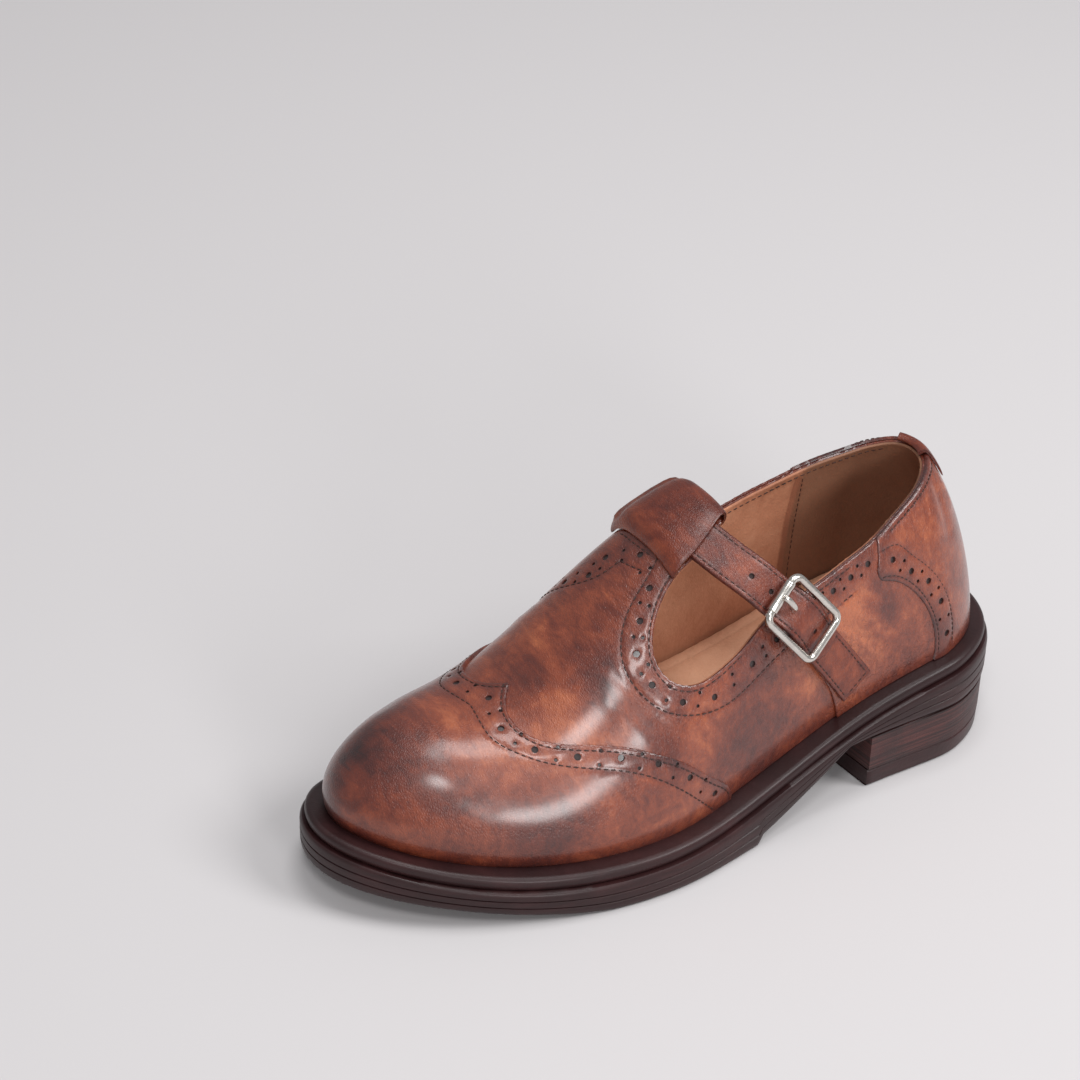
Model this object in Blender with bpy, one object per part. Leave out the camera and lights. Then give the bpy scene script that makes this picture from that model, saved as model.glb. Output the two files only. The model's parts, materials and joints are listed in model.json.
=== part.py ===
# A left T-strap brogue shoe with a buckle, built from named sizes and section tables.
# Metres at the end; every size below is in millimetres. Toe at -Y, outer side at +X, floor at Z = 0.

import bpy
import numpy as np
from mathutils import Vector
from mathutils.geometry import delaunay_2d_cdt

# Driving sizes
size = {
    "feather_length": 254.0,  # heel back to toe tip where the upper meets the sole
    "toe_tip_x": -8.0,
    "heel_tip_x": 4.7,
    "heel_tip": 0.0445,  # share of the length where the feather's heel end lies
    "gap": 0.3,
    "wall": 2.0,
    "overlay_gap": 0.4,
    "overlay_thick": 0.9,
    "counter_thick": 1.3,
    "facet": 7.7,  # side of the triangles on curved panels
    "fan_front_y": -98.0,
    "fan_back_y": 85.0,
    "fan_soft": 12.0,
    "top_layer": 4.6,
    "toe_flange": 8.0,
    "heel_flange": 6.8,
    "lower_step_toe": 2.0,
    "lower_step_heel": 1.8,
    "groove_deep": 0.7,
    "lift_high": 6.6,
    "heel_top": 21.2,
    "tread_end": 0.49,  # share of the length where the tread steps up to the shank
    "seat_end": 0.33,  # share where the flat heel seat ends under the outsole
    "breast_y": 53.5,
    "breast_turn": 0.10,  # inner end of the breast sits further forward, as a slope
    "breast_hollow": 6.0,
    "heel_taper": 0.2,
    "insole_thick": 2.6,
    "strap_wide": 14.5,
    "strap_thick": 2.0,
    "tab_wide": 14.0,
    "tab_thick": 1.6,
    "wire": 2.5,
    "frame_long": 27.0,
    "frame_wide": 21.0,
    "roller_wire": 3.6,
    "prong_wire": 2.0,
    "bar_wire": 1.8,
    "frame_corner": 3.0,
    "strap_edge": 0.5,  # the rounding of a strap's edges
    "panel_gap": 0.6,
    "quarter_foot": 91.0,  # places round the sole where the front edges of quarter and wing cap end
    "wing_foot": 139.8,
}

# Feather outline: share of the length from the heel end of the frame, and x; the heel end is a half circle
outline_outer = [
    (0.0559, 17.8),
    (0.0883, 28.4),
    (0.1350, 34.6),
    (0.1665, 35.7),
    (0.2500, 35.4),
    (0.3500, 36.2),
    (0.5000, 41.0),
    (0.6200, 45.0),
    (0.7200, 43.0),
    (0.8200, 35.5),
    (0.9200, 21.5),
    (0.9800, 6.0),
]
outline_inner = [
    (0.9800, -20.5),
    (0.9300, -27.5),
    (0.8400, -35.5),
    (0.7400, -39.5),
    (0.6500, -38.5),
    (0.5500, -33.5),
    (0.4500, -29.5),
    (0.3500, -27.6),
    (0.2500, -27.2),
    (0.1665, -26.3),
    (0.1350, -25.2),
    (0.0883, -19.0),
    (0.0559, -8.4),
]
# Share of the length, height of the sole's top
sole_top = [
    (0.00, 40.8),
    (0.12, 39.8),
    (0.30, 31.4),
    (0.45, 21.8),
    (0.58, 16.5),
    (0.70, 15.5),
    (0.85, 17.5),
    (1.00, 24.5),
]
# Share of the length, height of the outsole's underside; the tread ends in a step
tread_bottom = [
    (0.49, 0.0),
    (0.73, 0.0),
    (0.80, 2.2),
    (0.86, 4.4),
    (0.91, 6.4),
    (0.95, 7.9),
    (1.00, 9.4),
    (1.06, 11.0),
]
shank_bottom = [
    (0.33, 21.5),
    (0.36, 17.0),
    (0.40, 11.8),
    (0.44, 7.4),
    (0.47, 4.6),
    (0.49, 3.0),
]
# y, height of the last's ridge line
ridge_height = [
    (-127, 46.5),
    (-100, 53.5),
    (-75, 55.5),
    (-45, 72.5),
    (-15, 95.0),
    (10, 106.5),
    (42, 112.3),
    (64, 113.2),
    (84, 112.0),
    (102, 111.2),
    (127, 111.0),
]
# y, x of the ridge line
ridge_x = [(-100, -9.4), (-60, -6.5), (-20, -7.8), (20, -5.2), (90, 1.5), (120, 2.0)]
# Rib shape along the last: y, powers of the outer width, inner width and height, bulge, height of the bulge
shape_rows = [
    (-127, 2.60, 2.85, 2.10, 2.5, 14),
    (-90, 2.60, 2.85, 2.00, 2.5, 14),
    (-50, 2.40, 2.70, 2.00, 2.0, 14),
    (-10, 2.50, 2.75, 2.00, 1.5, 16),
    (30, 2.60, 2.60, 1.95, 1.0, 20),
    (80, 2.15, 2.15, 1.65, 0.0, 22),
    (112, 1.85, 1.85, 1.48, 0.0, 22),
    (127, 1.80, 1.80, 1.45, 0.0, 22),
]

# Curves on the pattern: across the ridge (outer side positive), along it from the toe
throat_outer = [
    (15.5, 121.0),
    (20.5, 109.0),
    (21.6, 100.0),
    (24.0, 91.5),
    (29.0, 83.2),
    (35.5, 78.6),
    (44.0, 79.6),
    (52.0, 85.8),
    (57.0, 94.5),
    (58.2, 104.0),
    (56.6, 115.0),
    (53.0, 124.0),
]
throat_inner = [
    (-11.5, 121.0),
    (-16.0, 109.0),
    (-17.3, 100.0),
    (-18.8, 91.5),
    (-22.5, 84.0),
    (-28.0, 79.6),
    (-35.0, 81.0),
    (-41.0, 87.0),
    (-44.5, 95.5),
    (-45.0, 104.5),
    (-43.0, 115.0),
    (-39.8, 124.0),
]
# Topline: distance round the sole from the back centre, height up the wall
topline_outer = [
    (115.5, 55.6),
    (97.5, 55.1),
    (83.5, 55.4),
    (73.0, 56.2),
    (64.4, 58.4),
    (50.0, 61.8),
    (35.4, 64.6),
    (18.0, 66.0),
    (0.0, 66.2),
]
topline_inner = [
    (118.0, 57.2),
    (101.0, 58.2),
    (92.0, 59.0),
    (81.0, 59.4),
    (64.0, 60.7),
    (44.0, 61.8),
    (28.0, 64.2),
    (14.0, 65.8),
    (0.0, 66.2),
]
# Wing cap edge, outer half from the peak to the sole; the inner half mirrors it
wing_edge = [
    (4.5, 32.4),
    (9.0, 28.2),
    (14.5, 25.4),
    (21.0, 25.2),
    (27.5, 28.2),
    (33.0, 33.6),
    (39.5, 42.0),
    (48.5, 53.6),
    (60.5, 66.4),
    (75.5, 81.0),
    (92.5, 95.6),
    (104.5, 104.2),
]
wing_mirror = {"centre": 4.5, "scale": 0.955}
# Quarter front edge from the topline to the sole
quarter_edge = [(50.5, 129.0), (60.0, 133.6), (70.0, 139.2), (79.0, 145.2), (91.0, 152.0)]
# Counter front edge: distance round the sole from the back centre, height up the wall
counter_edge = [
    (72.2, 55.0),
    (72.8, 49.0),
    (73.4, 44.6),
    (72.6, 42.4),
    (68.6, 39.8),
    (63.2, 36.0),
    (55.4, 26.6),
    (50.4, 15.4),
    (49.2, 6.1),
    (49.4, 2.0),
]
# Strap middle line, from the sewn inner end to the tip: across, along, lift over the last
strap_line = [
    (-50.0, 136.5, 1.9),
    (-42.0, 130.5, 1.9),
    (-34.0, 124.6, 2.0),
    (-25.0, 118.8, 1.0),
    (-17.0, 114.4, 0.7),
    (-7.0, 110.6, 0.7),
    (3.0, 109.0, 0.7),
    (12.0, 109.8, 0.7),
    (20.5, 112.3, 0.7),
    (31.4, 117.8, 1.6),
    (39.0, 123.0, 2.9),
    (44.5, 127.0, 3.3),
    (49.5, 130.8, 5.3),
    (54.0, 134.2, 6.8),
    (58.8, 137.9, 5.6),
    (64.0, 141.8, 3.7),
    (69.4, 145.9, 3.7),
]
# Buckle middle on the pattern, a place that gives its direction, and the lifts of its frame and centre bar
buckle_spot = {"across": 54.0, "along": 134.2, "toward": (59.0, 138.0), "frame": 7.6, "bar": 4.4}
tab_line = [(54.6, 134.7, 1.7), (63.0, 141.2, 1.7), (76.0, 151.3, 1.7), (88.5, 161.0, 1.7)]
# Loop: section along the ridge, as (along, lift), and its two sides, as (along, inner, outer)
loop_section = [
    (96.0, 0.6),
    (96.0, 1.7),
    (98.4, 1.9),
    (99.2, 3.9),
    (102.0, 4.5),
    (117.3, 4.6),
    (121.2, 4.1),
    (123.4, 2.2),
    (123.7, -1.0),
    (122.8, -3.6),
    (120.5, -4.0),
    (112.0, -4.0),
    (112.0, -2.9),
    (120.4, -2.8),
    (122.1, -2.1),
    (122.5, -0.6),
    (122.3, 2.2),
    (120.4, 3.2),
    (117.3, 3.5),
    (102.4, 3.4),
    (100.2, 2.9),
    (99.7, 0.9),
    (98.9, 0.6),
]
loop_sides = [
    (96.0, -16.6, 22.6),
    (100.0, -15.9, 21.6),
    (109.0, -14.2, 20.2),
    (121.0, -10.6, 15.0),
    (124.0, -10.2, 14.4),
]
# Collar tab: section over the rim at the back, as (height over the rim, lift)
collar_section = [
    (-10.2, 2.1),
    (-10.2, 3.2),
    (-2.7, 3.4),
    (0.9, 3.0),
    (2.4, 0.8),
    (2.0, -2.0),
    (0.2, -4.1),
    (-7.2, -4.2),
    (-7.2, -3.0),
    (-0.4, -2.9),
    (0.8, -1.8),
    (1.1, 1.2),
    (0.2, 2.3),
]
collar_tab_half = 17.0


# Curves and surfaces
def spline(rows):
    """Natural cubic through rows of (place, values...), straight beyond its ends."""
    table = np.array(rows, float)
    x, y = table[:, 0], table[:, 1:]
    count = len(x)
    step = np.diff(x)[:, None]
    slope = np.diff(y, axis=0) / step
    matrix = np.eye(count)
    right = np.zeros_like(y)
    for i in range(1, count - 1):
        matrix[i, i - 1 : i + 2] = (step[i - 1, 0], 2 * (step[i - 1, 0] + step[i, 0]), step[i, 0])
        right[i] = 6 * (slope[i] - slope[i - 1])
    bend = np.linalg.solve(matrix, right)

    def at(place):
        place = np.asarray(place, float)
        flat = place.reshape(-1)
        inside = np.clip(flat, x[0], x[-1])
        i = np.clip(np.searchsorted(x, inside) - 1, 0, count - 2)
        a = (x[i + 1] - inside)[:, None]
        b = (inside - x[i])[:, None]
        h = step[i]
        value = (bend[i] * a**3 + bend[i + 1] * b**3) / (6 * h)
        value += (y[i] / h - bend[i] * h / 6) * a + (y[i + 1] / h - bend[i + 1] * h / 6) * b
        tilt = (bend[i + 1] * b**2 - bend[i] * a**2) / (2 * h) + slope[i] - (bend[i + 1] - bend[i]) * h / 6
        value += tilt * (flat - inside)[:, None]
        value = value.reshape(place.shape + (y.shape[1],))
        return value[..., 0] if y.shape[1] == 1 else value

    return at


def smooth(u):
    u = np.clip(u, 0, 1)
    return u * u * (3 - 2 * u)


def lengths(points):
    return np.concatenate([[0.0], np.cumsum(np.linalg.norm(np.diff(points, axis=0), axis=1))])


def drawn(points, spacing=None, count=None):
    """Points at even steps along a smooth curve through the given points."""
    points = np.array(points, float)
    chord = lengths(points)
    curve = spline(np.column_stack([chord, points]))
    fine = curve(np.linspace(0, chord[-1], 40 * len(points)))
    far = lengths(fine)
    if count is None:
        count = max(2, int(round(far[-1] / spacing)) + 1)
    even = np.linspace(0, far[-1], count)
    return np.column_stack([np.interp(even, far, fine[:, k]) for k in range(points.shape[1])])


length = size["feather_length"]


def share(y):
    return 0.5 - y / length


def feather_loop():
    rows = [(size["heel_tip_x"], size["heel_tip"])] + [(x, s) for s, x in outline_outer]
    rows += [(size["toe_tip_x"], 1.0)] + [(x, s) for s, x in outline_inner]
    corners = np.array([(x, (0.5 - s) * length) for x, s in rows])
    thrice = np.vstack([corners, corners, corners, corners[:1]])
    strides = np.hypot(*np.diff(thrice, axis=0).T)
    chord = np.concatenate([[0.0], np.cumsum(np.sqrt(strides))])
    curve = spline(np.column_stack([chord, thrice]))
    first, last = chord[len(corners)], chord[2 * len(corners)]
    return curve(np.linspace(first, last, 2401))


feather = feather_loop()
feather_far = lengths(feather)
around = feather_far[-1]
sole_top_at = spline(sole_top)
ridge_at = spline(ridge_height)
ridge_x_at = spline(ridge_x)
shape_at = spline(shape_rows)


def feather_at(t):
    t = np.mod(t, around)
    return np.stack([np.interp(t, feather_far, feather[:, 0]), np.interp(t, feather_far, feather[:, 1])], -1)


def spine_y(y):
    soft = size["fan_soft"]
    front, back = size["fan_front_y"], size["fan_back_y"]
    held = front + soft * np.logaddexp(0, (y - front) / soft)
    return back - soft * np.logaddexp(0, (back - held) / soft)


toe_far = feather_far[np.argmin(feather[:, 1])]


def last_point(t, v):
    """The last's surface: t round the feather from the back centre, v from the ridge (0) to the sole (1)."""
    t, v = np.broadcast_arrays(np.mod(t, around), np.asarray(v, float))
    base = feather_at(t)
    y = base[..., 1]
    top_y = spine_y(y)
    top = np.stack([ridge_x_at(top_y), top_y], -1)
    outer, inner, height, bulge, bulge_at = np.moveaxis(shape_at(y), -1, 0)
    on_inner = 1 / (1 + np.exp(-0.25 * (t - toe_far)))
    from_back = smooth(np.minimum(t, around - t) / 25.0)
    middle = (outer + inner) / 2
    power = middle + (outer + (inner - outer) * on_inner - middle) * from_back
    angle = np.pi / 2 * v**1.2
    out = np.clip(np.sin(angle), 0, 1) ** (2 / power)
    rise = np.clip(np.cos(angle), 0, 1) ** (2 / height)
    bottom = sole_top_at(share(y)) + size["gap"]
    reach = base - top
    wide = np.hypot(reach[..., 0], reach[..., 1])
    place = top + reach * out[..., None]
    z = bottom + (ridge_at(place[..., 1]) - bottom) * rise
    high = (z - bottom) / bulge_at
    place = top + reach * (out * (1 + bulge * high * np.exp(1 - high) / wide))[..., None]
    z = bottom + (ridge_at(place[..., 1]) - bottom) * rise
    return np.concatenate([place, z[..., None]], -1)


# Tables that turn pattern distances into places on the last
rib_count, step_count = 700, 160
rib_t = np.linspace(0, around, rib_count)
steps = np.linspace(0, 1, step_count)


def build_tables():
    grid = last_point(np.clip(rib_t, 0, around - 1e-6)[:, None], steps[None])
    run = np.linalg.norm(np.diff(grid, axis=1), axis=2)
    far = np.concatenate([np.zeros((rib_count, 1)), np.cumsum(run, 1)], 1)
    v_at = np.stack([np.interp(steps * row[-1], row, steps) for row in far])
    base = feather_at(np.clip(rib_t, 0, around - 1e-6))
    top_y = spine_y(base[:, 1])
    fine_y = np.linspace(top_y.min(), top_y.max(), 900)
    ridge = np.stack([ridge_x_at(fine_y), fine_y, ridge_at(fine_y)], -1)
    ridge_far = lengths(ridge)
    ridge_far -= np.interp(size["fan_front_y"], fine_y, ridge_far)
    ridge_q = np.interp(top_y, fine_y, ridge_far)
    middle = last_point(np.clip(rib_t, 0, around - 1e-6), v_at[:, int(step_count * 0.62)])
    reach = base - np.stack([ridge_x_at(top_y), top_y], -1)
    reach /= np.linalg.norm(reach, axis=1)[:, None]
    toe = int(np.argmin(np.abs(rib_t - toe_far)))
    side = np.where(np.arange(rib_count) < toe, 1.0, -1.0)
    level = smooth((base[:, 1] + 10) / 20)[:, None]
    reach = reach * (1 - level) + np.stack([side, 0 * side], -1) * level
    reach /= np.linalg.norm(reach, axis=1)[:, None]
    along = np.zeros(rib_count)
    along[toe] = ridge_q[toe]
    for way in (-1, 1):
        i = toe
        while 0 <= i + way < rib_count:
            j = i + way
            blend = float(smooth((base[j, 1] - 25) / 30))
            on_ridge = abs(ridge_q[j] - ridge_q[i])
            along[j] = along[i] + on_ridge * (1 - blend) + np.linalg.norm(middle[j] - middle[i]) * blend
            i = j
    split = toe + int(np.argmin(np.abs(reach[toe - 12 : toe + 13, 0]))) - 12
    return far[:, -1], v_at, along, reach, split


rib_long, rib_v, rib_q, rib_way, rib_split = build_tables()


def rib_length(t):
    return np.interp(np.mod(t, around), rib_t, rib_long)


def pattern_of(t, far):
    """Pattern place of a point far from the ridge along rib t."""
    row = np.clip(np.asarray(t, float) / around * (rib_count - 1), 0, rib_count - 1.000001)
    i = row.astype(int)
    a = row - i
    q = rib_q[i] * (1 - a) + rib_q[i + 1] * a
    way = rib_way[i] * (1 - a)[..., None] + rib_way[i + 1] * a[..., None]
    way /= np.linalg.norm(way, axis=-1)[..., None]
    return np.stack([way[..., 0] * far, q + way[..., 1] * far], -1)


def ribs_of(pattern):
    """Rib and distance along it for each pattern place."""
    p, q = pattern[:, 0], pattern[:, 1]
    t, far = np.zeros(len(p)), np.zeros(len(p))
    for sign in (1, -1):
        chosen = np.nonzero(p >= 0 if sign == 1 else p < 0)[0]
        rows = np.arange(0, rib_split + 3) if sign == 1 else np.arange(rib_count - 1, rib_split - 3, -1)
        way, start, place = rib_way[rows], rib_q[rows], rib_t[rows]
        for part in np.array_split(chosen, max(1, len(chosen) // 4000)):
            cross = sign * (way[:, 0] * (q[part, None] - start) - way[:, 1] * p[part, None])
            hit = cross > 1e-9
            k = np.clip(np.where(hit.any(1), hit.argmax(1), len(rows) - 1), 1, len(rows) - 1)
            each = np.arange(len(part))
            below, above = cross[each, k - 1], cross[each, k]
            a = np.clip(-below / np.where(above == below, 1, above - below), 0, 1)
            t[part] = place[k - 1] + (place[k] - place[k - 1]) * a
            far[part] = np.hypot(p[part], q[part] - (start[k - 1] + (start[k] - start[k - 1]) * a))
    return t, far


def v_of(t, far):
    row = np.clip(np.mod(t, around) / around * (rib_count - 1), 0, rib_count - 1.000001)
    i = row.astype(int)
    a = row - i
    long = rib_long[i] * (1 - a) + rib_long[i + 1] * a
    column = np.clip(far / long, 0, 1) * (step_count - 1)
    j = np.minimum(column.astype(int), step_count - 2)
    b = column - j
    near = rib_v[i, j] * (1 - a) + rib_v[i + 1, j] * a
    next_ = rib_v[i, j + 1] * (1 - a) + rib_v[i + 1, j + 1] * a
    return near * (1 - b) + next_ * b


def place_and_normal(t, far):
    v = v_of(t, far)
    here = last_point(t, v)
    held = np.clip(v, 0.03, 0.985)
    ahead = last_point(t + 0.4, held) - last_point(t - 0.4, held)
    down = last_point(t, held + 0.012) - last_point(t, held - 0.012)
    normal = np.cross(down, ahead)
    normal /= np.linalg.norm(normal, axis=-1)[..., None]
    return here, normal


# At the back centre and above it the walls face outward, at the ridge they face up
probe = place_and_normal(np.array([90.0]), np.array([70.0]))[1][0]
facing = 1.0 if probe[0] > 0 else -1.0


def on_last(pattern, lift=0.0):
    t, far = ribs_of(np.asarray(pattern, float))
    # Both sides of the back seam take the same places
    at_seam = np.minimum(t, around - t) < 0.02
    t, far = np.where(at_seam, 0.0, t), np.where(at_seam, np.round(far, 2), far)
    here, normal = place_and_normal(t, far)
    return here + normal * facing * np.asarray(lift, float).reshape(-1, 1)


def up_wall(t, high):
    """Pattern place at a height up the wall above the sole."""
    t = np.asarray(t, float)
    return pattern_of(t, rib_length(np.minimum(t, around - 1e-6)) - high)


# Meshes
def inside(points, loop):
    x, y = points[:, 0], points[:, 1]
    result = np.zeros(len(points), bool)
    for (ax, ay), (bx, by) in zip(loop, np.roll(loop, -1, axis=0)):
        crosses = (ay > y) != (by > y)
        with np.errstate(divide="ignore", invalid="ignore"):
            result ^= crosses & (x < (bx - ax) * (y - ay) / (by - ay) + ax)
    return result


def filled(loop, spacing, lines=()):
    """Triangles inside a closed loop, with an even scatter of points and points on given lines."""
    loop = np.asarray(loop, float)
    low, high = loop.min(0), loop.max(0)
    points = []
    rise = spacing * 0.866
    for row in range(int(np.floor(low[1] / rise)), int(np.ceil(high[1] / rise)) + 1):
        first = np.floor(low[0] / spacing) * spacing + (spacing / 2 if row % 2 else 0)
        points += [(x, row * rise) for x in np.arange(first, high[0], spacing)]
    points = np.array(points).reshape(-1, 2)
    points = points[inside(points, loop)]
    edges = [(i, (i + 1) % len(loop)) for i in range(len(loop))]
    count = len(loop)
    for line in lines:
        edges += [(count + i, count + i + 1) for i in range(len(line) - 1)]
        count += len(line)
    fixed = np.vstack([loop, *lines])
    for a, b in edges:
        edge = fixed[b] - fixed[a]
        along = np.clip((points - fixed[a]) @ edge / max(edge @ edge, 1e-9), 0, 1)
        points = points[np.linalg.norm(points - fixed[a] - along[:, None] * edge, axis=1) > spacing * 0.5]
    points = np.vstack([fixed, points])
    result = delaunay_2d_cdt([Vector(p) for p in points], edges, [], 0, 1e-6)
    made = np.array([tuple(p) for p in result[0]])
    faces = np.array([f for f in result[2] if len(f) == 3])
    return made, faces[inside(made[faces].mean(1), loop)]


def turns_left(flat, faces):
    """Which triangles run anticlockwise."""
    a, b, c = (flat[faces[:, k]] for k in range(3))
    return (b[:, 0] - a[:, 0]) * (c[:, 1] - a[:, 1]) - (b[:, 1] - a[:, 1]) * (c[:, 0] - a[:, 0]) > 0


def area_of(ring):
    """Twice a ring's area, above zero where it runs anticlockwise."""
    x, y = ring[:, 0], ring[:, 1]
    return np.sum(x * np.roll(y, -1) - np.roll(x, -1) * y)


def outside_out(points, faces):
    """Faces turned so that a closed body's volume is above zero."""
    faces = np.array(faces)
    a, b, c = (points[faces[:, k]] for k in range(3))
    return faces[:, ::-1] if np.einsum("ij,ij->i", a, np.cross(b, c)).sum() < 0 else faces


def add_body(name, points, faces):
    mesh = bpy.data.meshes.new(name)
    mesh.from_pydata([tuple(p) for p in points], [], [tuple(int(i) for i in f) for f in faces])
    mesh.validate()
    body = bpy.data.objects.new(name, mesh)
    bpy.context.collection.objects.link(body)
    bodies.append(body)
    return body


def shell(name, faces, front, back):
    """A plate between two copies of one triangulation, closed along its rim."""
    kept, index = np.unique(np.round(front, 4), axis=0, return_inverse=True)
    first = np.zeros(len(kept), int)
    first[index.reshape(-1)] = np.arange(len(front))
    faces = index.reshape(-1)[faces]
    front, back = front[first], back[first]
    outward = np.cross(front[faces[:, 1]] - front[faces[:, 0]], front[faces[:, 2]] - front[faces[:, 0]])
    away = front[faces].mean(1) - back[faces].mean(1)
    faces = np.where(((outward * away).sum(1) < 0)[:, None], faces[:, ::-1], faces)
    sides = {}
    for a, b, c in faces:
        for edge in ((a, b), (b, c), (c, a)):
            sides[edge] = sides.get(edge, 0) + 1
    count = len(front)
    walls = []
    for a, b in sides:
        if (b, a) not in sides:
            walls += [(b, a, a + count), (b, a + count, b + count)]
    every = np.vstack([faces, faces[:, ::-1] + count, walls])
    return add_body(name, np.vstack([front, back]), every)


def panel(name, loops, low, high):
    """The upper's own triangles inside some loops, between two lifts over the last and clear of the sole."""
    middle = cut_flat[cut_faces].mean(1)
    chosen = np.zeros(len(middle), bool)
    for loop in loops:
        chosen |= inside(middle, loop)
    used, faces = np.unique(cut_faces[chosen], return_inverse=True)
    sides = []
    for lift in (high, low):
        places = on_last(cut_flat[used], lift)
        places[:, 2] = np.maximum(places[:, 2], top_z(places[:, :2]) + size["gap"])
        sides.append(places)
    return shell(name, faces.reshape(-1, 3), *sides)


def rings_body(name, rings, bottom_z, high_z, spacing, lines=()):
    """A body from matching closed rings, bottom to top, closed by two caps that follow given heights."""
    count = len(rings[0])
    points = [ring for ring in rings]
    faces = []
    for row in range(len(rings) - 1):
        low, high = row * count, (row + 1) * count
        for i in range(count):
            j = (i + 1) % count
            faces += [(low + i, low + j, high + j), (low + i, high + j, high + i)]
    total = count * len(rings)
    caps = ((rings[0], 0, bottom_z, True), (rings[-1], total - count, high_z, False))
    for ring, start, height, flip in caps:
        flat, cap = filled(ring[:, :2], spacing, lines if flip else ())
        extra = flat[count:]
        points.append(np.column_stack([extra, height(extra)]))
        cap = np.where(cap < count, cap + start, cap - count + total)
        up = turns_left(np.vstack(points)[:, :2], cap)
        faces += [tuple(f) if good != flip else tuple(f[::-1]) for f, good in zip(cap, up)]
        total += len(extra)
    return add_body(name, np.vstack(points), faces)


bpy.context.scene.unit_settings.scale_length = 1.0
for old in list(bpy.data.objects):
    bpy.data.objects.remove(old)
bodies = []

# The sole: rings offset from the feather outline
step_y = (0.5 - size["tread_end"]) * length


def stations():
    """Places round the sole: even, with two rows more on each side at the step of the tread."""
    even = np.linspace(0, around, 81)[:-1]
    outer_side, inner_side = feather_far < toe_far, feather_far > toe_far
    rows = np.array([-0.5, 0.5])
    outer = np.interp(rows - step_y, -feather[outer_side, 1], feather_far[outer_side])
    inner = np.interp(rows + step_y, feather[inner_side, 1], feather_far[inner_side])
    extra = np.concatenate([outer, inner])
    even = even[np.abs(even[:, None] - extra).min(1) > 2.0]
    return np.sort(np.concatenate([even, extra]))


def outward(t):
    along = feather_at(t + 0.5) - feather_at(t - 0.5)
    out = np.stack([-along[:, 1], along[:, 0]], -1)
    return out / np.linalg.norm(out, axis=1)[:, None]


ring_t = stations()
ring_base = feather_at(ring_t)
ring_out = outward(ring_t)
if (ring_out * (ring_base - ring_base.mean(0))).sum() < 0:
    ring_out = -ring_out
# At the step the rings spread straight sideways, so that the step stays square
at_step = np.abs(ring_base[:, 1] - step_y) < 0.8
ring_out[at_step] = np.stack([np.sign(ring_out[at_step, 0]), 0 * ring_out[at_step, 0]], -1)
toeward = smooth((share(ring_base[:, 1]) - 0.25) / 0.4)
flange = size["heel_flange"] + (size["toe_flange"] - size["heel_flange"]) * toeward
step_out = size["lower_step_heel"] + (size["lower_step_toe"] - size["lower_step_heel"]) * toeward


def sole_ring(out, z):
    xy = ring_base + ring_out * np.asarray(out).reshape(-1, 1)
    return np.column_stack([xy, z(xy) if callable(z) else np.full(len(xy), z)])


def top_z(xy):
    return sole_top_at(share(xy[:, 1]))


def layer_z(down):
    return lambda xy: top_z(xy) - down


top_layer = size["top_layer"]
upper_rings = [
    sole_ring(flange - 0.4, layer_z(top_layer)),
    sole_ring(flange + 0.2, layer_z(top_layer * 0.72)),
    sole_ring(flange + 0.3, layer_z(top_layer * 0.45)),
    sole_ring(flange - 0.4, layer_z(top_layer * 0.16)),
    sole_ring(flange - 1.9, layer_z(0.0)),
]
turn = slice(None) if area_of(ring_base) > 0 else slice(None, None, -1)
rings_body("midsole", [ring[turn] for ring in upper_rings], layer_z(top_layer), top_z, 16.0)

tread_at = spline(tread_bottom)
shank_at = spline(shank_bottom)


def under_z(xy):
    """Underside of the outsole: heel seat, shank, step and forefoot tread."""
    s = share(xy[:, 1])
    rear = np.where(s < size["seat_end"], size["heel_top"] + size["gap"], shank_at(s))
    return np.where(xy[:, 1] > step_y, rear, np.maximum(tread_at(s), 0))


def deck_z(xy):
    return top_z(xy) - top_layer - size["gap"]


def between(low_share):
    return lambda xy: under_z(xy) + (deck_z(xy) - under_z(xy)) * low_share


edge = flange + step_out
deep = size["groove_deep"]
lower_rings = [
    sole_ring(edge - 1.2, between(0.0)),
    sole_ring(edge - 0.2, between(0.09)),
    sole_ring(edge, between(0.30)),
    sole_ring(edge - deep, between(0.345)),
    sole_ring(edge, between(0.39)),
    sole_ring(edge, between(0.60)),
    sole_ring(edge - deep, between(0.645)),
    sole_ring(edge, between(0.69)),
    sole_ring(edge - 0.1, between(0.92)),
    sole_ring(edge - 0.7, between(1.0)),
]
seat_y = (0.5 - size["seat_end"]) * length


def cross_line(inner_x, outer_x, count, y):
    return np.column_stack([np.linspace(inner_x, outer_x, count), np.full(count, y)])


step_lines = [cross_line(-34.0, 45.0, 15, step_y + side) for side in (-0.5, 0.5)]
step_lines.append(cross_line(-30.0, 38.0, 7, seat_y))
rings_body("outsole", [ring[turn] for ring in lower_rings], under_z, deck_z, 16.0, step_lines)


def heel_ring(out, z):
    """The rear of the sole's edge, closed by the straight breast."""
    fine_t = np.linspace(-0.5 * around, 0.5 * around, 1201)[:-1]
    out_way = outward(fine_t)
    if (out_way * (feather_at(fine_t) - feather.mean(0))).sum() < 0:
        out_way = -out_way
    edge = feather_at(fine_t) + out_way * (size["heel_flange"] + size["lower_step_heel"] + out)
    kept = edge[edge[:, 1] > size["breast_y"] + size["breast_turn"] * (edge[:, 0] - 44.0)]
    far = lengths(kept)
    curve = np.column_stack([np.interp(np.linspace(0, far[-1], 45), far, kept[:, k]) for k in (0, 1)])
    way = np.linspace(0, 1, 9)[1:-1, None]
    front = curve[-1] + (curve[0] - curve[-1]) * way + (0, size["breast_hollow"]) * way * (1 - way)
    ring = np.vstack([curve, front])
    return np.column_stack([ring, np.full(len(ring), z)])


def level(z):
    return lambda xy: np.full(len(xy), z)


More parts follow.
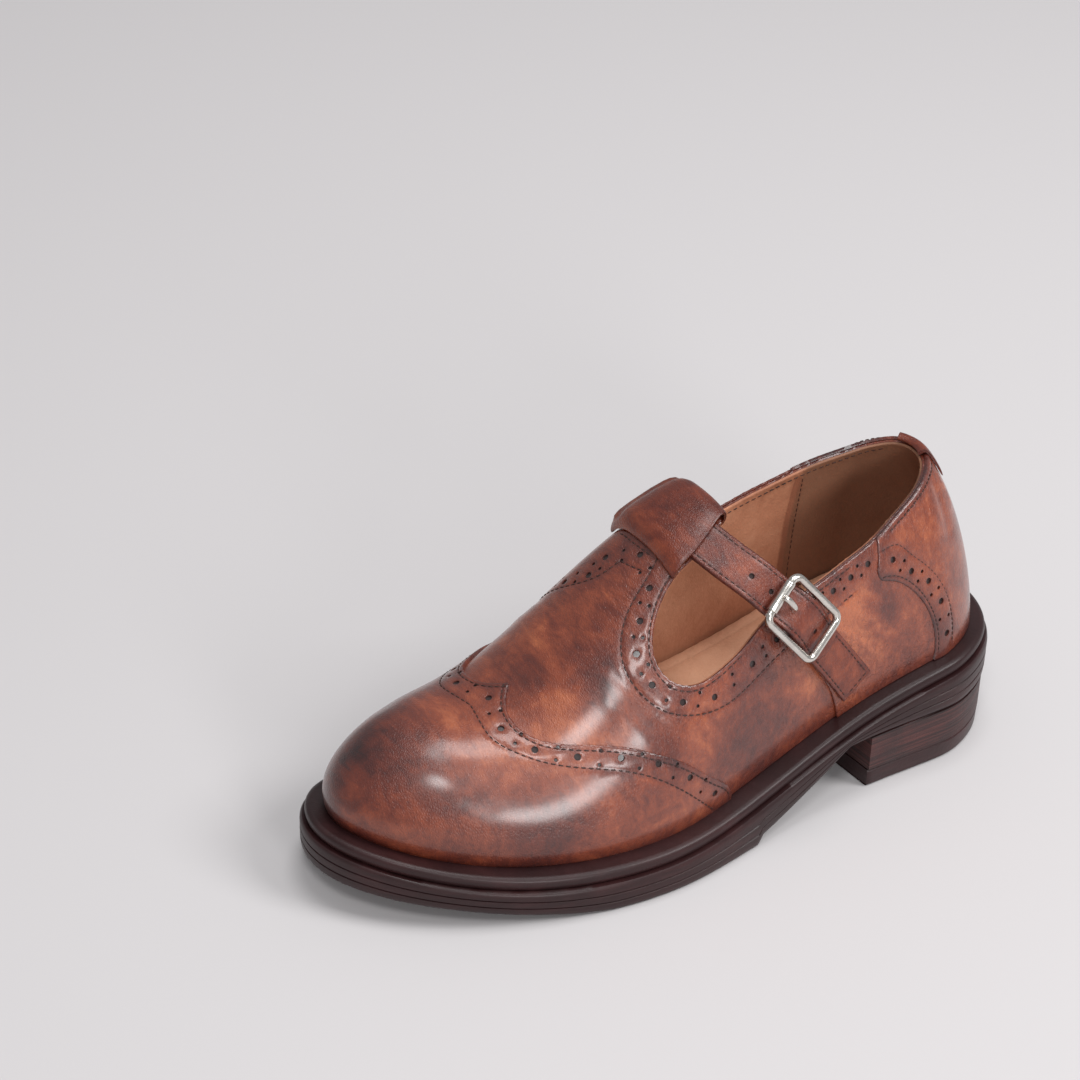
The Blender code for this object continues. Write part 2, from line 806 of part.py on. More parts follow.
def heel_body(name, rows, spacing):
    rings = [heel_ring(out, z) for out, z in rows]
    rings = rings if area_of(rings[0]) > 0 else [ring[::-1] for ring in rings]
    return rings_body(name, rings, level(rows[0][1]), level(rows[-1][1]), spacing)


taper = size["heel_taper"]
block_low = size["lift_high"] + size["gap"]
heel_rows = [(-taper - 0.3, block_low), (-0.5, size["heel_top"] - 0.4), (-0.8, size["heel_top"])]
lift_rows = [(-taper - 1.4, 0.0), (-taper - 0.6, 0.9), (-taper - 0.4, size["lift_high"] - 0.5)]
lift_rows.append((-taper - 0.8, size["lift_high"]))
heel_body("heel", heel_rows, 18.0)
heel_body("heel_lift", lift_rows, 18.0)

# The insole lies inside the wall on the midsole
insole_low = size["gap"] + 0.15
insole_high = insole_low + size["insole_thick"]
inset = size["wall"] + 1.0
insole_rings = [sole_ring(-inset, layer_z(-height))[turn] for height in (insole_low, insole_high)]
rings_body("insole", insole_rings, layer_z(-insole_low), layer_z(-insole_high), 16.0)

# Edges of the upper and of its overlays on the pattern
facet = size["facet"]
rim_high = topline_outer[-1][1]
counter_foot = counter_edge[-1][0] + 0.4
panel_gap = size["panel_gap"]
quarter_foot = size["quarter_foot"]
wing_foot = size["wing_foot"]


def side_t(t, inner):
    return around - np.asarray(t, float) if inner else np.asarray(t, float)


def foot(t, inner):
    return tuple(up_wall(side_t(t, inner), 0.0))


def counter_front(inner, shift=0.0):
    """Front edge of the counter from the rim to the sole, moved towards the toe by a shift."""
    rows = [tuple(up_wall(side_t(t + shift, inner), h)) for t, h in counter_edge]
    return drawn(rows + [foot(counter_foot + shift, inner)], count=17)


def quarter_front(inner):
    rows = [(-(p - 10.5) * 0.93, q) if inner else (p, q) for p, q in quarter_edge]
    return drawn(rows + [foot(quarter_foot, inner)], facet * 0.7)


def wing_half(inner):
    centre, scale = wing_mirror["centre"], wing_mirror["scale"]
    rows = [(centre - (p - centre) * scale, q) if inner else (p, q) for p, q in wing_edge]
    return drawn(rows + [foot(wing_foot, inner)], facet * 0.6)


def with_stops(total, stops, spacing):
    """Even distances up to a total, with the given stops among them."""
    even = np.linspace(0, total, int(round(total / spacing)) + 1)
    near = np.abs(even[1:-1, None] - np.array(stops)).min(1) < spacing * 0.5
    return np.sort(np.concatenate([even[[0, -1]], even[1:-1][~near], stops]))


def rim_path(inner):
    """The rim from the loop to the back centre, and where its quarter and its counter start on it."""
    throat, topline = (throat_inner, topline_inner) if inner else (throat_outer, topline_outer)
    rows = [tuple(up_wall(side_t(t, inner), h)) for t, h in topline]
    fine = drawn(list(throat) + rows, 0.25)
    far = lengths(fine)
    starts = [quarter_front(inner)[0], counter_front(inner, panel_gap)[0], counter_front(inner)[0]]
    stops = [far[np.argmin(np.linalg.norm(fine - start, axis=1))] for start in starts]
    stops[2] = max(stops[2], stops[1] + panel_gap)
    places = with_stops(far[-1], stops, facet * 0.72)
    path = np.column_stack([np.interp(places, far, fine[:, k]) for k in (0, 1)])
    return path, [int(np.argmin(np.abs(places - stop))) for stop in stops]


foot_places = (counter_foot, counter_foot + panel_gap, quarter_foot, wing_foot)
feet = [side_t(t, inner) for inner in (False, True) for t in foot_places]
base_t = with_stops(around, np.array(feet), facet * 0.8)


def base_path(start, end):
    low, high = min(start, end) - 1e-6, max(start, end) + 1e-6
    chosen = base_t[(base_t >= low) & (base_t <= high)]
    return up_wall(chosen if start < end else chosen[::-1], 0.0)


def seam(inner):
    """The back centre on the pattern, from the sole to the rim."""
    heights = np.linspace(0, rim_high, 10)
    return up_wall(np.full(len(heights), around if inner else 0.0), heights)


def joined(*paths):
    """One closed loop from paths laid end to end."""
    points = [paths[0]]
    for path in paths[1:]:
        points.append(path[1:])
    loop = np.vstack(points)
    return loop[:-1]


def meeting(path, start):
    """A path whose first point is moved onto the rim."""
    return np.vstack([start, path[1:]])


rims = {inner: rim_path(inner) for inner in (False, True)}


def quarter_loop(inner):
    rim, (front, rear, _) = rims[inner]
    edge = meeting(quarter_front(inner), rim[front])
    back = meeting(counter_front(inner, panel_gap), rim[rear])
    low = base_path(side_t(counter_foot + panel_gap, inner), side_t(quarter_foot, inner))
    return joined(rim[front : rear + 1], back, low, edge[::-1])


def counter_loop(inner):
    rim, (_, _, start) = rims[inner]
    edge = meeting(counter_front(inner), rim[start])
    low = base_path(side_t(counter_foot, inner), around if inner else 0.0)
    return joined(edge, low, seam(inner), rim[start:][::-1])


bar_middle = ((throat_inner[0][0] + throat_outer[0][0]) / 2, throat_inner[0][1] + 0.4)
bar_end = drawn([throat_inner[0], bar_middle, throat_outer[0]], facet)
upper_loop = joined(
    base_path(0, around),
    seam(True),
    rims[True][0][::-1],
    bar_end,
    rims[False][0],
    seam(False)[::-1],
)
wing_loop = joined(wing_half(True)[::-1], wing_half(False), base_path(wing_foot, around - wing_foot))
loops = {
    "upper": [upper_loop],
    "wing_cap": [wing_loop],
    "quarter_outer": [quarter_loop(False)],
    "quarter_inner": [quarter_loop(True)],
    "heel_counter": [counter_loop(False), counter_loop(True)],
}
edges = [np.vstack([wing_half(True)[::-1], wing_half(False)[1:]])]
for inner in (False, True):
    rim, (front, rear, start) = rims[inner]
    edges.append(meeting(quarter_front(inner), rim[front]))
    edges.append(meeting(counter_front(inner, panel_gap), rim[rear]))
    edges.append(meeting(counter_front(inner), rim[start]))
# One set of triangles serves the upper and what lies on it, so their walls run parallel
cut_flat, cut_faces = filled(upper_loop, facet, edges)
over_low = size["overlay_gap"]
over_high = over_low + size["overlay_thick"]
panel("upper", loops["upper"], -size["wall"], 0.0)
panel("wing_cap", loops["wing_cap"], over_low, over_high)
panel("quarter_outer", loops["quarter_outer"], over_low, over_high)
panel("quarter_inner", loops["quarter_inner"], over_low, over_high)
panel("heel_counter", loops["heel_counter"], over_low, over_low + size["counter_thick"])


# Pieces swept from a section
def swept(name, stations_points):
    """A body from matching closed sections, capped at both ends."""
    count = len(stations_points[0])
    points = np.vstack(stations_points)
    faces = []
    for row in range(len(stations_points) - 1):
        low, high = row * count, (row + 1) * count
        for i in range(count):
            j = (i + 1) % count
            faces += [(low + i, low + j, high + j), (low + i, high + j, high + i)]
    ring = stations_points[0]
    frame = np.linalg.svd(ring - ring.mean(0), full_matrices=False)[2][:2]
    flat = (ring - ring.mean(0)) @ frame.T
    outline = [(i, (i + 1) % count) for i in range(count)]
    result = delaunay_2d_cdt([Vector(p) for p in flat], outline, [], 0, 1e-6)
    cap = np.array([f for f in result[2] if len(f) == 3])
    cap = cap[inside(flat[cap].mean(1), flat)]
    up = turns_left(flat, cap)
    ring_up = area_of(flat) > 0
    cap = np.where((up == ring_up)[:, None], cap[:, ::-1], cap)
    last = (len(stations_points) - 1) * count
    every = np.vstack([faces, cap, cap[:, ::-1] + last])
    return add_body(name, points, outside_out(points, every))


def loop_station(u):
    ring = []
    places, inner_side, outer_side = np.transpose(loop_sides)
    for q, lift in loop_section:
        low, high = np.interp(q, places, inner_side), np.interp(q, places, outer_side)
        ring.append((low + (high - low) * u, q, lift))
    ring = np.array(ring)
    return on_last(ring[:, :2], ring[:, 2])


swept("strap_loop", [loop_station(u) for u in np.linspace(0, 1, 11)])


def collar_station(t):
    section = np.array(collar_section)
    t = np.full(len(section), np.mod(t, around))
    here, normal = place_and_normal(t, rib_length(t) - rim_high - section[:, 0])
    return here + normal * facing * section[:, 1:2]


swept("collar_tab", [collar_station(t) for t in np.linspace(-collar_tab_half, collar_tab_half, 11)])


def band(name, line, wide, thick, spacing, tip=0.0):
    """A strap with rounded edges, laid along a line of (across, along, lift)."""
    rows = drawn(line, spacing)
    here = on_last(rows[:, :2], rows[:, 2])
    above = on_last(rows[:, :2], rows[:, 2] + 1.0)
    up = above - here
    along = np.gradient(here, axis=0)
    along /= np.linalg.norm(along, axis=1)[:, None]
    up -= along * (up * along).sum(1)[:, None]
    up /= np.linalg.norm(up, axis=1)[:, None]
    across = np.cross(along, up)
    far = lengths(here)
    edge = size["strap_edge"]
    sections = []
    for i, place in enumerate(here):
        half = wide / 2
        if tip:
            half *= 1 - (1 - min((far[-1] - far[i]) / tip, 1)) ** 2 * 0.6
        right = [(half - edge, 0), (half, edge), (half, thick - edge), (half - edge, thick)]
        left = [(-a, b) for a, b in right[::-1]]
        sections.append(np.array([place + across[i] * a + up[i] * b for a, b in right + left]))
    return swept(name, sections)


strap = band("strap", strap_line, size["strap_wide"], size["strap_thick"], 3.2, tip=5.0)

# Buckle frame of reference: along the strap, across it, and out from the shoe
spot = np.array([[buckle_spot["across"], buckle_spot["along"]]])
buckle_here = on_last(spot, 0.0)[0]
buckle_along = on_last([buckle_spot["toward"]], 0.0)[0] - on_last(2 * spot - buckle_spot["toward"], 0.0)[0]
buckle_along /= np.linalg.norm(buckle_along)
buckle_up = on_last(spot, 1.0)[0] - buckle_here
buckle_up -= buckle_along * (buckle_up @ buckle_along)
buckle_up /= np.linalg.norm(buckle_up)
buckle_across = np.cross(buckle_along, buckle_up)


def buckle_place(along, across, lift):
    return buckle_here + buckle_along * along + buckle_across * across + buckle_up * lift


def tube(name, path, radius, closed=False, sides=10):
    path = np.array(path, float)
    count = len(path)
    if closed:
        way = np.roll(path, -1, axis=0) - np.roll(path, 1, axis=0)
    else:
        way = np.gradient(path, axis=0)
    way /= np.linalg.norm(way, axis=1)[:, None]
    side = np.cross(way, buckle_up)
    for i in range(count):
        if np.linalg.norm(side[i]) < 0.2:
            side[i] = buckle_across
    side /= np.linalg.norm(side, axis=1)[:, None]
    over = np.cross(side, way)
    angles = np.arange(sides) * 2 * np.pi / sides + np.pi / sides
    circle = radius * np.column_stack([np.cos(angles), np.sin(angles)])
    rings = [path[i] + circle @ np.array([side[i], over[i]]) for i in range(count)]
    if not closed:
        return swept(name, rings)
    points = np.vstack(rings)
    faces = []
    for row in range(count):
        low, high = row * sides, (row + 1) % count * sides
        for i in range(sides):
            j = (i + 1) % sides
            faces += [(low + i, low + j, high + j), (low + i, high + j, high + i)]
    return add_body(name, points, outside_out(points, faces))


wire = size["wire"] / 2
half_long = size["frame_long"] / 2 - wire
half_wide = size["frame_wide"] / 2 - wire
corner = size["frame_corner"]
corners_at = [(a * half_long, b * half_wide) for a, b in ((1, 1), (-1, 1), (-1, -1), (1, -1))]
frame_path = []
for number, (a, b) in enumerate(corners_at):
    centre = np.array([a - np.sign(a) * corner, b - np.sign(b) * corner])
    start = number * np.pi / 2
    for angle in np.linspace(start, start + np.pi / 2, 6):
        turned = centre + corner * np.array([np.cos(angle), np.sin(angle)])
        frame_path.append(buckle_place(turned[0], turned[1], buckle_spot["frame"]))
frame_body = tube("buckle_frame", frame_path, wire, closed=True)
bar_rise = buckle_spot["frame"] - buckle_spot["bar"]
bar_half = [(half_wide, 0.0), (half_wide - 1.2, bar_rise / 2), (half_wide - 1.9, bar_rise)]
bar_path = [(-a, drop) for a, drop in bar_half] + bar_half[::-1]
bar_line = [buckle_place(0.0, a, buckle_spot["frame"] - drop) for a, drop in bar_path]
bar_body = tube("bar", bar_line, size["bar_wire"] / 2)


def boolean(body, other, operation):
    change = body.modifiers.new(operation.lower(), "BOOLEAN")
    change.operation = operation
    change.solver = "EXACT"
    change.object = other
    change.use_self = True
    other.hide_render = True
    other.display_type = "WIRE"


boolean(frame_body, bar_body, "UNION")

# The roller turns on the bar nearest the loop
roller_out = size["roller_wire"] / 2
roller_in = wire + 0.3
angles = np.arange(12) * np.pi / 6
ring_points = []
roller_half = half_wide - corner - 0.4
roller_rows = [(roller_out, -roller_half), (roller_out, roller_half)]
roller_rows += [(roller_in, roller_half), (roller_in, -roller_half)]
for radius, across in roller_rows:
    middle = buckle_place(-half_long, across, buckle_spot["frame"])
    ring = np.cos(angles)[:, None] * buckle_along + np.sin(angles)[:, None] * buckle_up
    ring_points.append(middle + radius * ring)
points = np.vstack(ring_points)
faces = []
for row in range(4):
    low, high = row * 12, (row + 1) % 4 * 12
    for i in range(12):
        j = (i + 1) % 12
        faces += [(low + i, low + j, high + j), (low + i, high + j, high + i)]
add_body("buckle_roller", points, outside_out(points, faces))

# The prong rises through the strap's hole and rests on the roller
prong = size["prong_wire"] / 2
over_roller = buckle_spot["frame"] + roller_out + 0.3 + prong * 0.85
prong_path = [
    (-3.6, 0, 5.9),
    (-4.5, 0, 6.9),
    (-5.4, 0, 8.2),
    (-6.6, 0, 9.4),
    (-8.4, 0, over_roller - 0.4),
    (-10.4, 0, over_roller),
    (-half_long - 1.2, 0, over_roller - 0.1),
]
tube("buckle_prong", [buckle_place(*row) for row in prong_path], prong * 0.85, sides=8)
hole_path = [(-3.4, 0, 4.4), (-4.5, 0, 6.9), (-7.0, 0, 10.4)]
hole = tube("prong_hole", [buckle_place(*row) for row in hole_path], prong + 1.3)
boolean(strap, hole, "DIFFERENCE")

# The billet: a plate on the quarter whose top end is folded round the centre bar
band("buckle_tab", tab_line, size["tab_wide"], size["tab_thick"], 4.0)

# Metres, standing over the origin
bpy.context.view_layer.update()
corners = []
for body in bodies:
    if not body.hide_render:
        corners.append([vertex.co[:] for vertex in body.data.vertices])
corners = np.vstack(corners)
low, high = corners.min(0), corners.max(0)
shift = Vector((-(low[0] + high[0]) / 2, -(low[1] + high[1]) / 2, -low[2]))
print("shift", [round(value, 4) for value in shift], "size", np.round(high - low, 2))
for body in bodies:
    for vertex in body.data.vertices:
        vertex.co = (vertex.co + shift) * 0.001
    body.data.update()
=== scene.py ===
# Looks of a left T-strap brogue shoe with a buckle: leather, stitches, holes, sole, heel and metal.
import json

import bpy
import numpy as np
from mathutils import Matrix, Vector
from mathutils.geometry import delaunay_2d_cdt
from mathutils.kdtree import KDTree

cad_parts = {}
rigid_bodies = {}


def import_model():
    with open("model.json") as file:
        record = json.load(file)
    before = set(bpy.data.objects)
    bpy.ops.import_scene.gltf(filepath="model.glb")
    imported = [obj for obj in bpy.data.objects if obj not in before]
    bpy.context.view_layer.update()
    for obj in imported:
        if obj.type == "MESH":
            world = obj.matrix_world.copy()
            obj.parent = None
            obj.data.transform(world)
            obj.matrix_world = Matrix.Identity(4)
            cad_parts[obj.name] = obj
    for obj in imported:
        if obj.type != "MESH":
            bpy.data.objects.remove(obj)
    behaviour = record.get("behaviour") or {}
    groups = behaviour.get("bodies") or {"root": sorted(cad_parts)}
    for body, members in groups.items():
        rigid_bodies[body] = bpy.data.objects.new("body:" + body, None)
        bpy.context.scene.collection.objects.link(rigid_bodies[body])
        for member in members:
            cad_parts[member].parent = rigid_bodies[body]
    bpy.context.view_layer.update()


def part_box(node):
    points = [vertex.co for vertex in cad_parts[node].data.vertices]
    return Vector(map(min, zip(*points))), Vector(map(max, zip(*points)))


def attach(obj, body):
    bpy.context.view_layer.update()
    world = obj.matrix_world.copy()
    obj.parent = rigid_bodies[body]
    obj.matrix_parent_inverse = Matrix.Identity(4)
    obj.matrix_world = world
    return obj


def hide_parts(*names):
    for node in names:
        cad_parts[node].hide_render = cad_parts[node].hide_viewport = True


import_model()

for thing in bpy.data.objects:
    thing.select_set(False)
print("frame loaded")

# Driving sizes
size = {
    "featherLength": 254.0,  # heel back to toe tip where the upper meets the sole
    "toeTipX": -8.0,
    "heelTipX": 4.7,
    "heelTip": 0.0445,  # share of the length where the feather's heel end lies
    "gap": 0.3,
    "wall": 2.0,
    "fanFrontY": -98.0,
    "fanBackY": 85.0,
    "fanSoft": 12.0,
    "topLayer": 4.6,
    "toeFlange": 8.0,
    "heelFlange": 6.8,
    "lowerStepToe": 2.0,
    "lowerStepHeel": 1.8,
    "grooveDeep": 0.7,
    "liftHigh": 6.6,
    "heelTop": 21.2,
    "treadEnd": 0.49,  # share of the length where the tread steps up to the shank
    "seatEnd": 0.33,  # share where the flat heel seat ends under the outsole
    "breastY": 53.5,
    "breastTurn": 0.10,  # inner end of the breast sits further forward, as a slope
    "breastHollow": 6.0,
    "heelTaper": 0.2,
    "insoleThick": 2.6,
    "strapWide": 14.5,
    "strapThick": 2.0,
    "tabWide": 14.0,
    "tabThick": 1.6,
    "wire": 2.5,
    "frameLong": 27.0,
    "frameWide": 21.0,
    "rollerWire": 3.6,
    "prongWire": 2.0,
    "barWire": 1.8,
    "frameCorner": 3.0,
    "quarterFoot": 91.0,  # places round the sole where the front edges of quarter and wing cap end
    "wingFoot": 139.8,
}

# Feather outline: share of the length from the heel end of the frame, and x; the heel end is a half circle
outlineOuter = [
    (0.0559, 17.8), (0.0883, 28.4), (0.1350, 34.6), (0.1665, 35.7), (0.2500, 35.4), (0.3500, 36.2),
    (0.5000, 41.0), (0.6200, 45.0), (0.7200, 43.0), (0.8200, 35.5), (0.9200, 21.5), (0.9800, 6.0),
]
outlineInner = [
    (0.9800, -20.5), (0.9300, -27.5), (0.8400, -35.5), (0.7400, -39.5), (0.6500, -38.5), (0.5500, -33.5),
    (0.4500, -29.5), (0.3500, -27.6), (0.2500, -27.2), (0.1665, -26.3), (0.1350, -25.2), (0.0883, -19.0),
    (0.0559, -8.4),
]
# Share of the length, height of the sole's top
soleTop = [
    (0.00, 40.8), (0.12, 39.8), (0.30, 31.4), (0.45, 21.8), (0.58, 16.5), (0.70, 15.5), (0.85, 17.5),
    (1.00, 24.5),
]
# Share of the length, height of the outsole's underside; the tread ends in a step
treadBottom = [
    (0.49, 0.0), (0.73, 0.0), (0.80, 2.2), (0.86, 4.4), (0.91, 6.4), (0.95, 7.9), (1.00, 9.4), (1.06, 11.0),
]
shankBottom = [
    (0.33, 21.5), (0.36, 17.0), (0.40, 11.8), (0.44, 7.4), (0.47, 4.6), (0.49, 3.0),
]
# y, height of the last's ridge line
ridgeHeight = [
    (-127, 46.5), (-100, 53.5), (-75, 55.5), (-45, 72.5), (-15, 95.0), (10, 106.5), (42, 112.3),
    (64, 113.2), (84, 112.0), (102, 111.2), (127, 111.0),
]
# y, x of the ridge line
ridgeX = [(-100, -9.4), (-60, -6.5), (-20, -7.8), (20, -5.2), (90, 1.5), (120, 2.0)]
# Rib shape along the last: y, powers of the outer width, inner width and height, bulge, height of the bulge
shapeRows = [
    (-127, 2.60, 2.85, 2.10, 2.5, 14), (-90, 2.60, 2.85, 2.00, 2.5, 14), (-50, 2.40, 2.70, 2.00, 2.0, 14),
    (-10, 2.50, 2.75, 2.00, 1.5, 16), (30, 2.60, 2.60, 1.95, 1.0, 20), (80, 2.15, 2.15, 1.65, 0.0, 22),
    (112, 1.85, 1.85, 1.48, 0.0, 22), (127, 1.80, 1.80, 1.45, 0.0, 22),
]

# Curves on the pattern: across the ridge (outer side positive), along it from the toe
throatOuter = [
    (15.5, 121.0), (20.5, 109.0), (21.6, 100.0), (24.0, 91.5), (29.0, 83.2), (35.5, 78.6), (44.0, 79.6),
    (52.0, 85.8), (57.0, 94.5), (58.2, 104.0), (56.6, 115.0), (53.0, 124.0),
]
throatInner = [
    (-11.5, 121.0), (-16.0, 109.0), (-17.3, 100.0), (-18.8, 91.5), (-22.5, 84.0), (-28.0, 79.6),
    (-35.0, 81.0), (-41.0, 87.0), (-44.5, 95.5), (-45.0, 104.5), (-43.0, 115.0), (-39.8, 124.0),
]
# Topline: distance round the sole from the back centre, height up the wall
toplineOuter = [
    (115.5, 55.6), (97.5, 55.1), (83.5, 55.4), (73.0, 56.2), (64.4, 58.4), (50.0, 61.8), (35.4, 64.6),
    (18.0, 66.0), (0.0, 66.2),
]
toplineInner = [
    (118.0, 57.2), (101.0, 58.2), (92.0, 59.0), (81.0, 59.4), (64.0, 60.7), (44.0, 61.8), (28.0, 64.2),
    (14.0, 65.8), (0.0, 66.2),
]
# Wing cap edge, outer half from the peak to the sole; the inner half mirrors it
wingEdge = [
    (4.5, 32.4), (9.0, 28.2), (14.5, 25.4), (21.0, 25.2), (27.5, 28.2), (33.0, 33.6), (39.5, 42.0),
    (48.5, 53.6), (60.5, 66.4), (75.5, 81.0), (92.5, 95.6), (104.5, 104.2),
]
# Quarter front edge from the topline to the sole
quarterEdge = [(50.5, 129.0), (60.0, 133.6), (70.0, 139.2), (79.0, 145.2), (91.0, 152.0)]
# Counter front edge: distance round the sole from the back centre, height up the wall
counterEdge = [
    (72.2, 55.0), (72.8, 49.0), (73.4, 44.6), (72.6, 42.4), (68.6, 39.8), (63.2, 36.0), (55.4, 26.6),
    (50.4, 15.4), (49.2, 6.1), (49.4, 2.0),
]
# Strap middle line, from the sewn inner end to the tip: across, along, lift over the last
strapLine = [
    (-50.0, 136.5, 1.9), (-42.0, 130.5, 1.9), (-34.0, 124.6, 2.0), (-25.0, 118.8, 1.0), (-17.0, 114.4, 0.7),
    (-7.0, 110.6, 0.7), (3.0, 109.0, 0.7), (12.0, 109.8, 0.7), (20.5, 112.3, 0.7), (31.4, 117.8, 1.6),
    (39.0, 123.0, 2.9), (44.5, 127.0, 3.3), (49.5, 130.8, 5.3), (54.0, 134.2, 6.8), (58.8, 137.9, 5.6),
    (64.0, 141.8, 3.7), (69.4, 145.9, 3.7),
]
# Buckle middle on the pattern, a place that gives its direction, and the lifts of its frame and centre bar
buckleSpot = {"across": 54.0, "along": 134.2, "toward": (59.0, 138.0), "frame": 7.6, "bar": 4.4}
tabLine = [(54.6, 134.7, 1.7), (63.0, 141.2, 1.7), (76.0, 151.3, 1.7), (88.5, 161.0, 1.7)]
# Loop: section along the ridge, as (along, lift), and its two sides, as (along, inner, outer)
loopSection = [
    (96.0, 0.5), (96.1, 1.4), (97.9, 3.0), (100.2, 4.1), (103.0, 4.6), (117.3, 4.6), (121.2, 4.1),
    (123.4, 2.2), (123.7, -1.0), (122.8, -3.6), (120.5, -4.0), (112.0, -4.0), (112.0, -2.9), (120.4, -2.8),
    (122.1, -2.1), (122.5, -0.6), (122.3, 2.2), (120.4, 3.2), (117.3, 3.5), (102.4, 3.5), (100.3, 3.0),
    (98.7, 1.8), (98.2, 0.5),
]
loopSides = [
    (96.0, -14.6, 22.6), (100.0, -15.1, 21.6), (109.0, -14.2, 20.2), (121.0, -10.6, 15.0),
    (124.0, -10.2, 14.4),
]
# Collar tab: section over the rim at the back, as (height over the rim, lift)
collarSection = [
    (-10.2, 1.8), (-10.2, 2.6), (-2.7, 2.8), (0.9, 2.5), (2.0, 1.2), (2.0, -0.8), (1.0, -1.0), (0.9, 1.0),
    (0.2, 1.9),
]
collarTabHalf = 17.0


# Curves and surfaces
def spline(rows):
    table = np.array(rows, float)
    x, y = table[:, 0], table[:, 1:]
    count = len(x)
    step = np.diff(x)[:, None]
    slope = np.diff(y, axis=0) / step
    matrix = np.eye(count)
    right = np.zeros_like(y)
    for i in range(1, count - 1):
        matrix[i, i - 1 : i + 2] = (step[i - 1, 0], 2 * (step[i - 1, 0] + step[i, 0]), step[i, 0])
        right[i] = 6 * (slope[i] - slope[i - 1])
    bend = np.linalg.solve(matrix, right)

    def at(place):
        place = np.asarray(place, float)
        flat = place.reshape(-1)
        inside = np.clip(flat, x[0], x[-1])
        i = np.clip(np.searchsorted(x, inside) - 1, 0, count - 2)
        a = (x[i + 1] - inside)[:, None]
        b = (inside - x[i])[:, None]
        h = step[i]
        value = (bend[i] * a**3 + bend[i + 1] * b**3) / (6 * h)
        value += (y[i] / h - bend[i] * h / 6) * a + (y[i + 1] / h - bend[i + 1] * h / 6) * b
        tilt = (bend[i + 1] * b**2 - bend[i] * a**2) / (2 * h) + slope[i] - (bend[i + 1] - bend[i]) * h / 6
        value += tilt * (flat - inside)[:, None]
        value = value.reshape(place.shape + (y.shape[1],))
        return value[..., 0] if y.shape[1] == 1 else value

    return at


def smooth(u):
    u = np.clip(u, 0, 1)
    return u * u * (3 - 2 * u)


def lengths(points):
    return np.concatenate([[0.0], np.cumsum(np.linalg.norm(np.diff(points, axis=0), axis=1))])


def pathAt(place, far, rows):
    return np.stack([np.interp(place, far, rows[:, k]) for k in range(rows.shape[1])], -1)


def unit(rows):
    return rows / np.linalg.norm(rows, axis=-1)[..., None]


def leftOf(way):
    return unit(np.column_stack([-way[:, 1], way[:, 0]]))


def bell(x):
    return np.exp(-(x**2))


def drawn(points, spacing=None, count=None):
    points = np.array(points, float)
    chord = lengths(points)
    curve = spline(np.column_stack([chord, points]))
    fine = curve(np.linspace(0, chord[-1], 40 * len(points)))
    far = lengths(fine)
    if count is None:
        count = max(2, int(round(far[-1] / spacing)) + 1)
    return pathAt(np.linspace(0, far[-1], count), far, fine)


length = size["featherLength"]


def share(y):
    return 0.5 - y / length


def featherLoop():
    rows = [(size["heelTipX"], size["heelTip"])] + [(x, s) for s, x in outlineOuter]
    rows += [(size["toeTipX"], 1.0)] + [(x, s) for s, x in outlineInner]
    corners = np.array([(x, (0.5 - s) * length) for x, s in rows])
    thrice = np.vstack([corners, corners, corners, corners[:1]])
    strides = np.hypot(*np.diff(thrice, axis=0).T)
    chord = np.concatenate([[0.0], np.cumsum(np.sqrt(strides))])
    curve = spline(np.column_stack([chord, thrice]))
    first, last = chord[len(corners)], chord[2 * len(corners)]
    return curve(np.linspace(first, last, 2401))


feather = featherLoop()
featherFar = lengths(feather)
around = featherFar[-1]
soleTopAt = spline(soleTop)
ridgeAt = spline(ridgeHeight)
ridgeXAt = spline(ridgeX)
shapeAt = spline(shapeRows)


def featherAt(t):
    return pathAt(np.mod(t, around), featherFar, feather)


def spineY(y):
    soft = size["fanSoft"]
    front, back = size["fanFrontY"], size["fanBackY"]
    held = front + soft * np.logaddexp(0, (y - front) / soft)
    return back - soft * np.logaddexp(0, (back - held) / soft)


toeFar = featherFar[np.argmin(feather[:, 1])]


# How fast the rib changes sides at the toe, how far it is the same on both at the back, and its spacing
rib = {"sideTurn": 0.25, "backRound": 25.0, "spread": 1.2}


def lastPoint(t, v):
    t, v = np.broadcast_arrays(np.mod(t, around), np.asarray(v, float))
    base = featherAt(t)
    y = base[..., 1]
    topY = spineY(y)
    top = np.stack([ridgeXAt(topY), topY], -1)
    outer, inner, height, bulge, bulgeAt = np.moveaxis(shapeAt(y), -1, 0)
    onInner = 1 / (1 + np.exp(-rib["sideTurn"] * (t - toeFar)))
    fromBack = smooth(np.minimum(t, around - t) / rib["backRound"])
    middle = (outer + inner) / 2
    power = middle + (outer + (inner - outer) * onInner - middle) * fromBack
    angle = np.pi / 2 * v ** rib["spread"]
    out = np.clip(np.sin(angle), 0, 1) ** (2 / power)
    rise = np.clip(np.cos(angle), 0, 1) ** (2 / height)
    bottom = soleTopAt(share(y)) + size["gap"]
    reach = base - top
    wide = np.hypot(reach[..., 0], reach[..., 1])
    place = top + reach * out[..., None]
    z = bottom + (ridgeAt(place[..., 1]) - bottom) * rise
    high = (z - bottom) / bulgeAt
    place = top + reach * (out * (1 + bulge * high * np.exp(1 - high) / wide))[..., None]
    z = bottom + (ridgeAt(place[..., 1]) - bottom) * rise
    return np.concatenate([place, z[..., None]], -1)


# Tables that turn pattern distances into places on the last
ribCount, stepCount = 700, 160
ribT = np.linspace(0, around, ribCount)
lastT = around - 1e-6  # just short of a full turn, on the inner side of the back seam
steps = np.linspace(0, 1, stepCount)


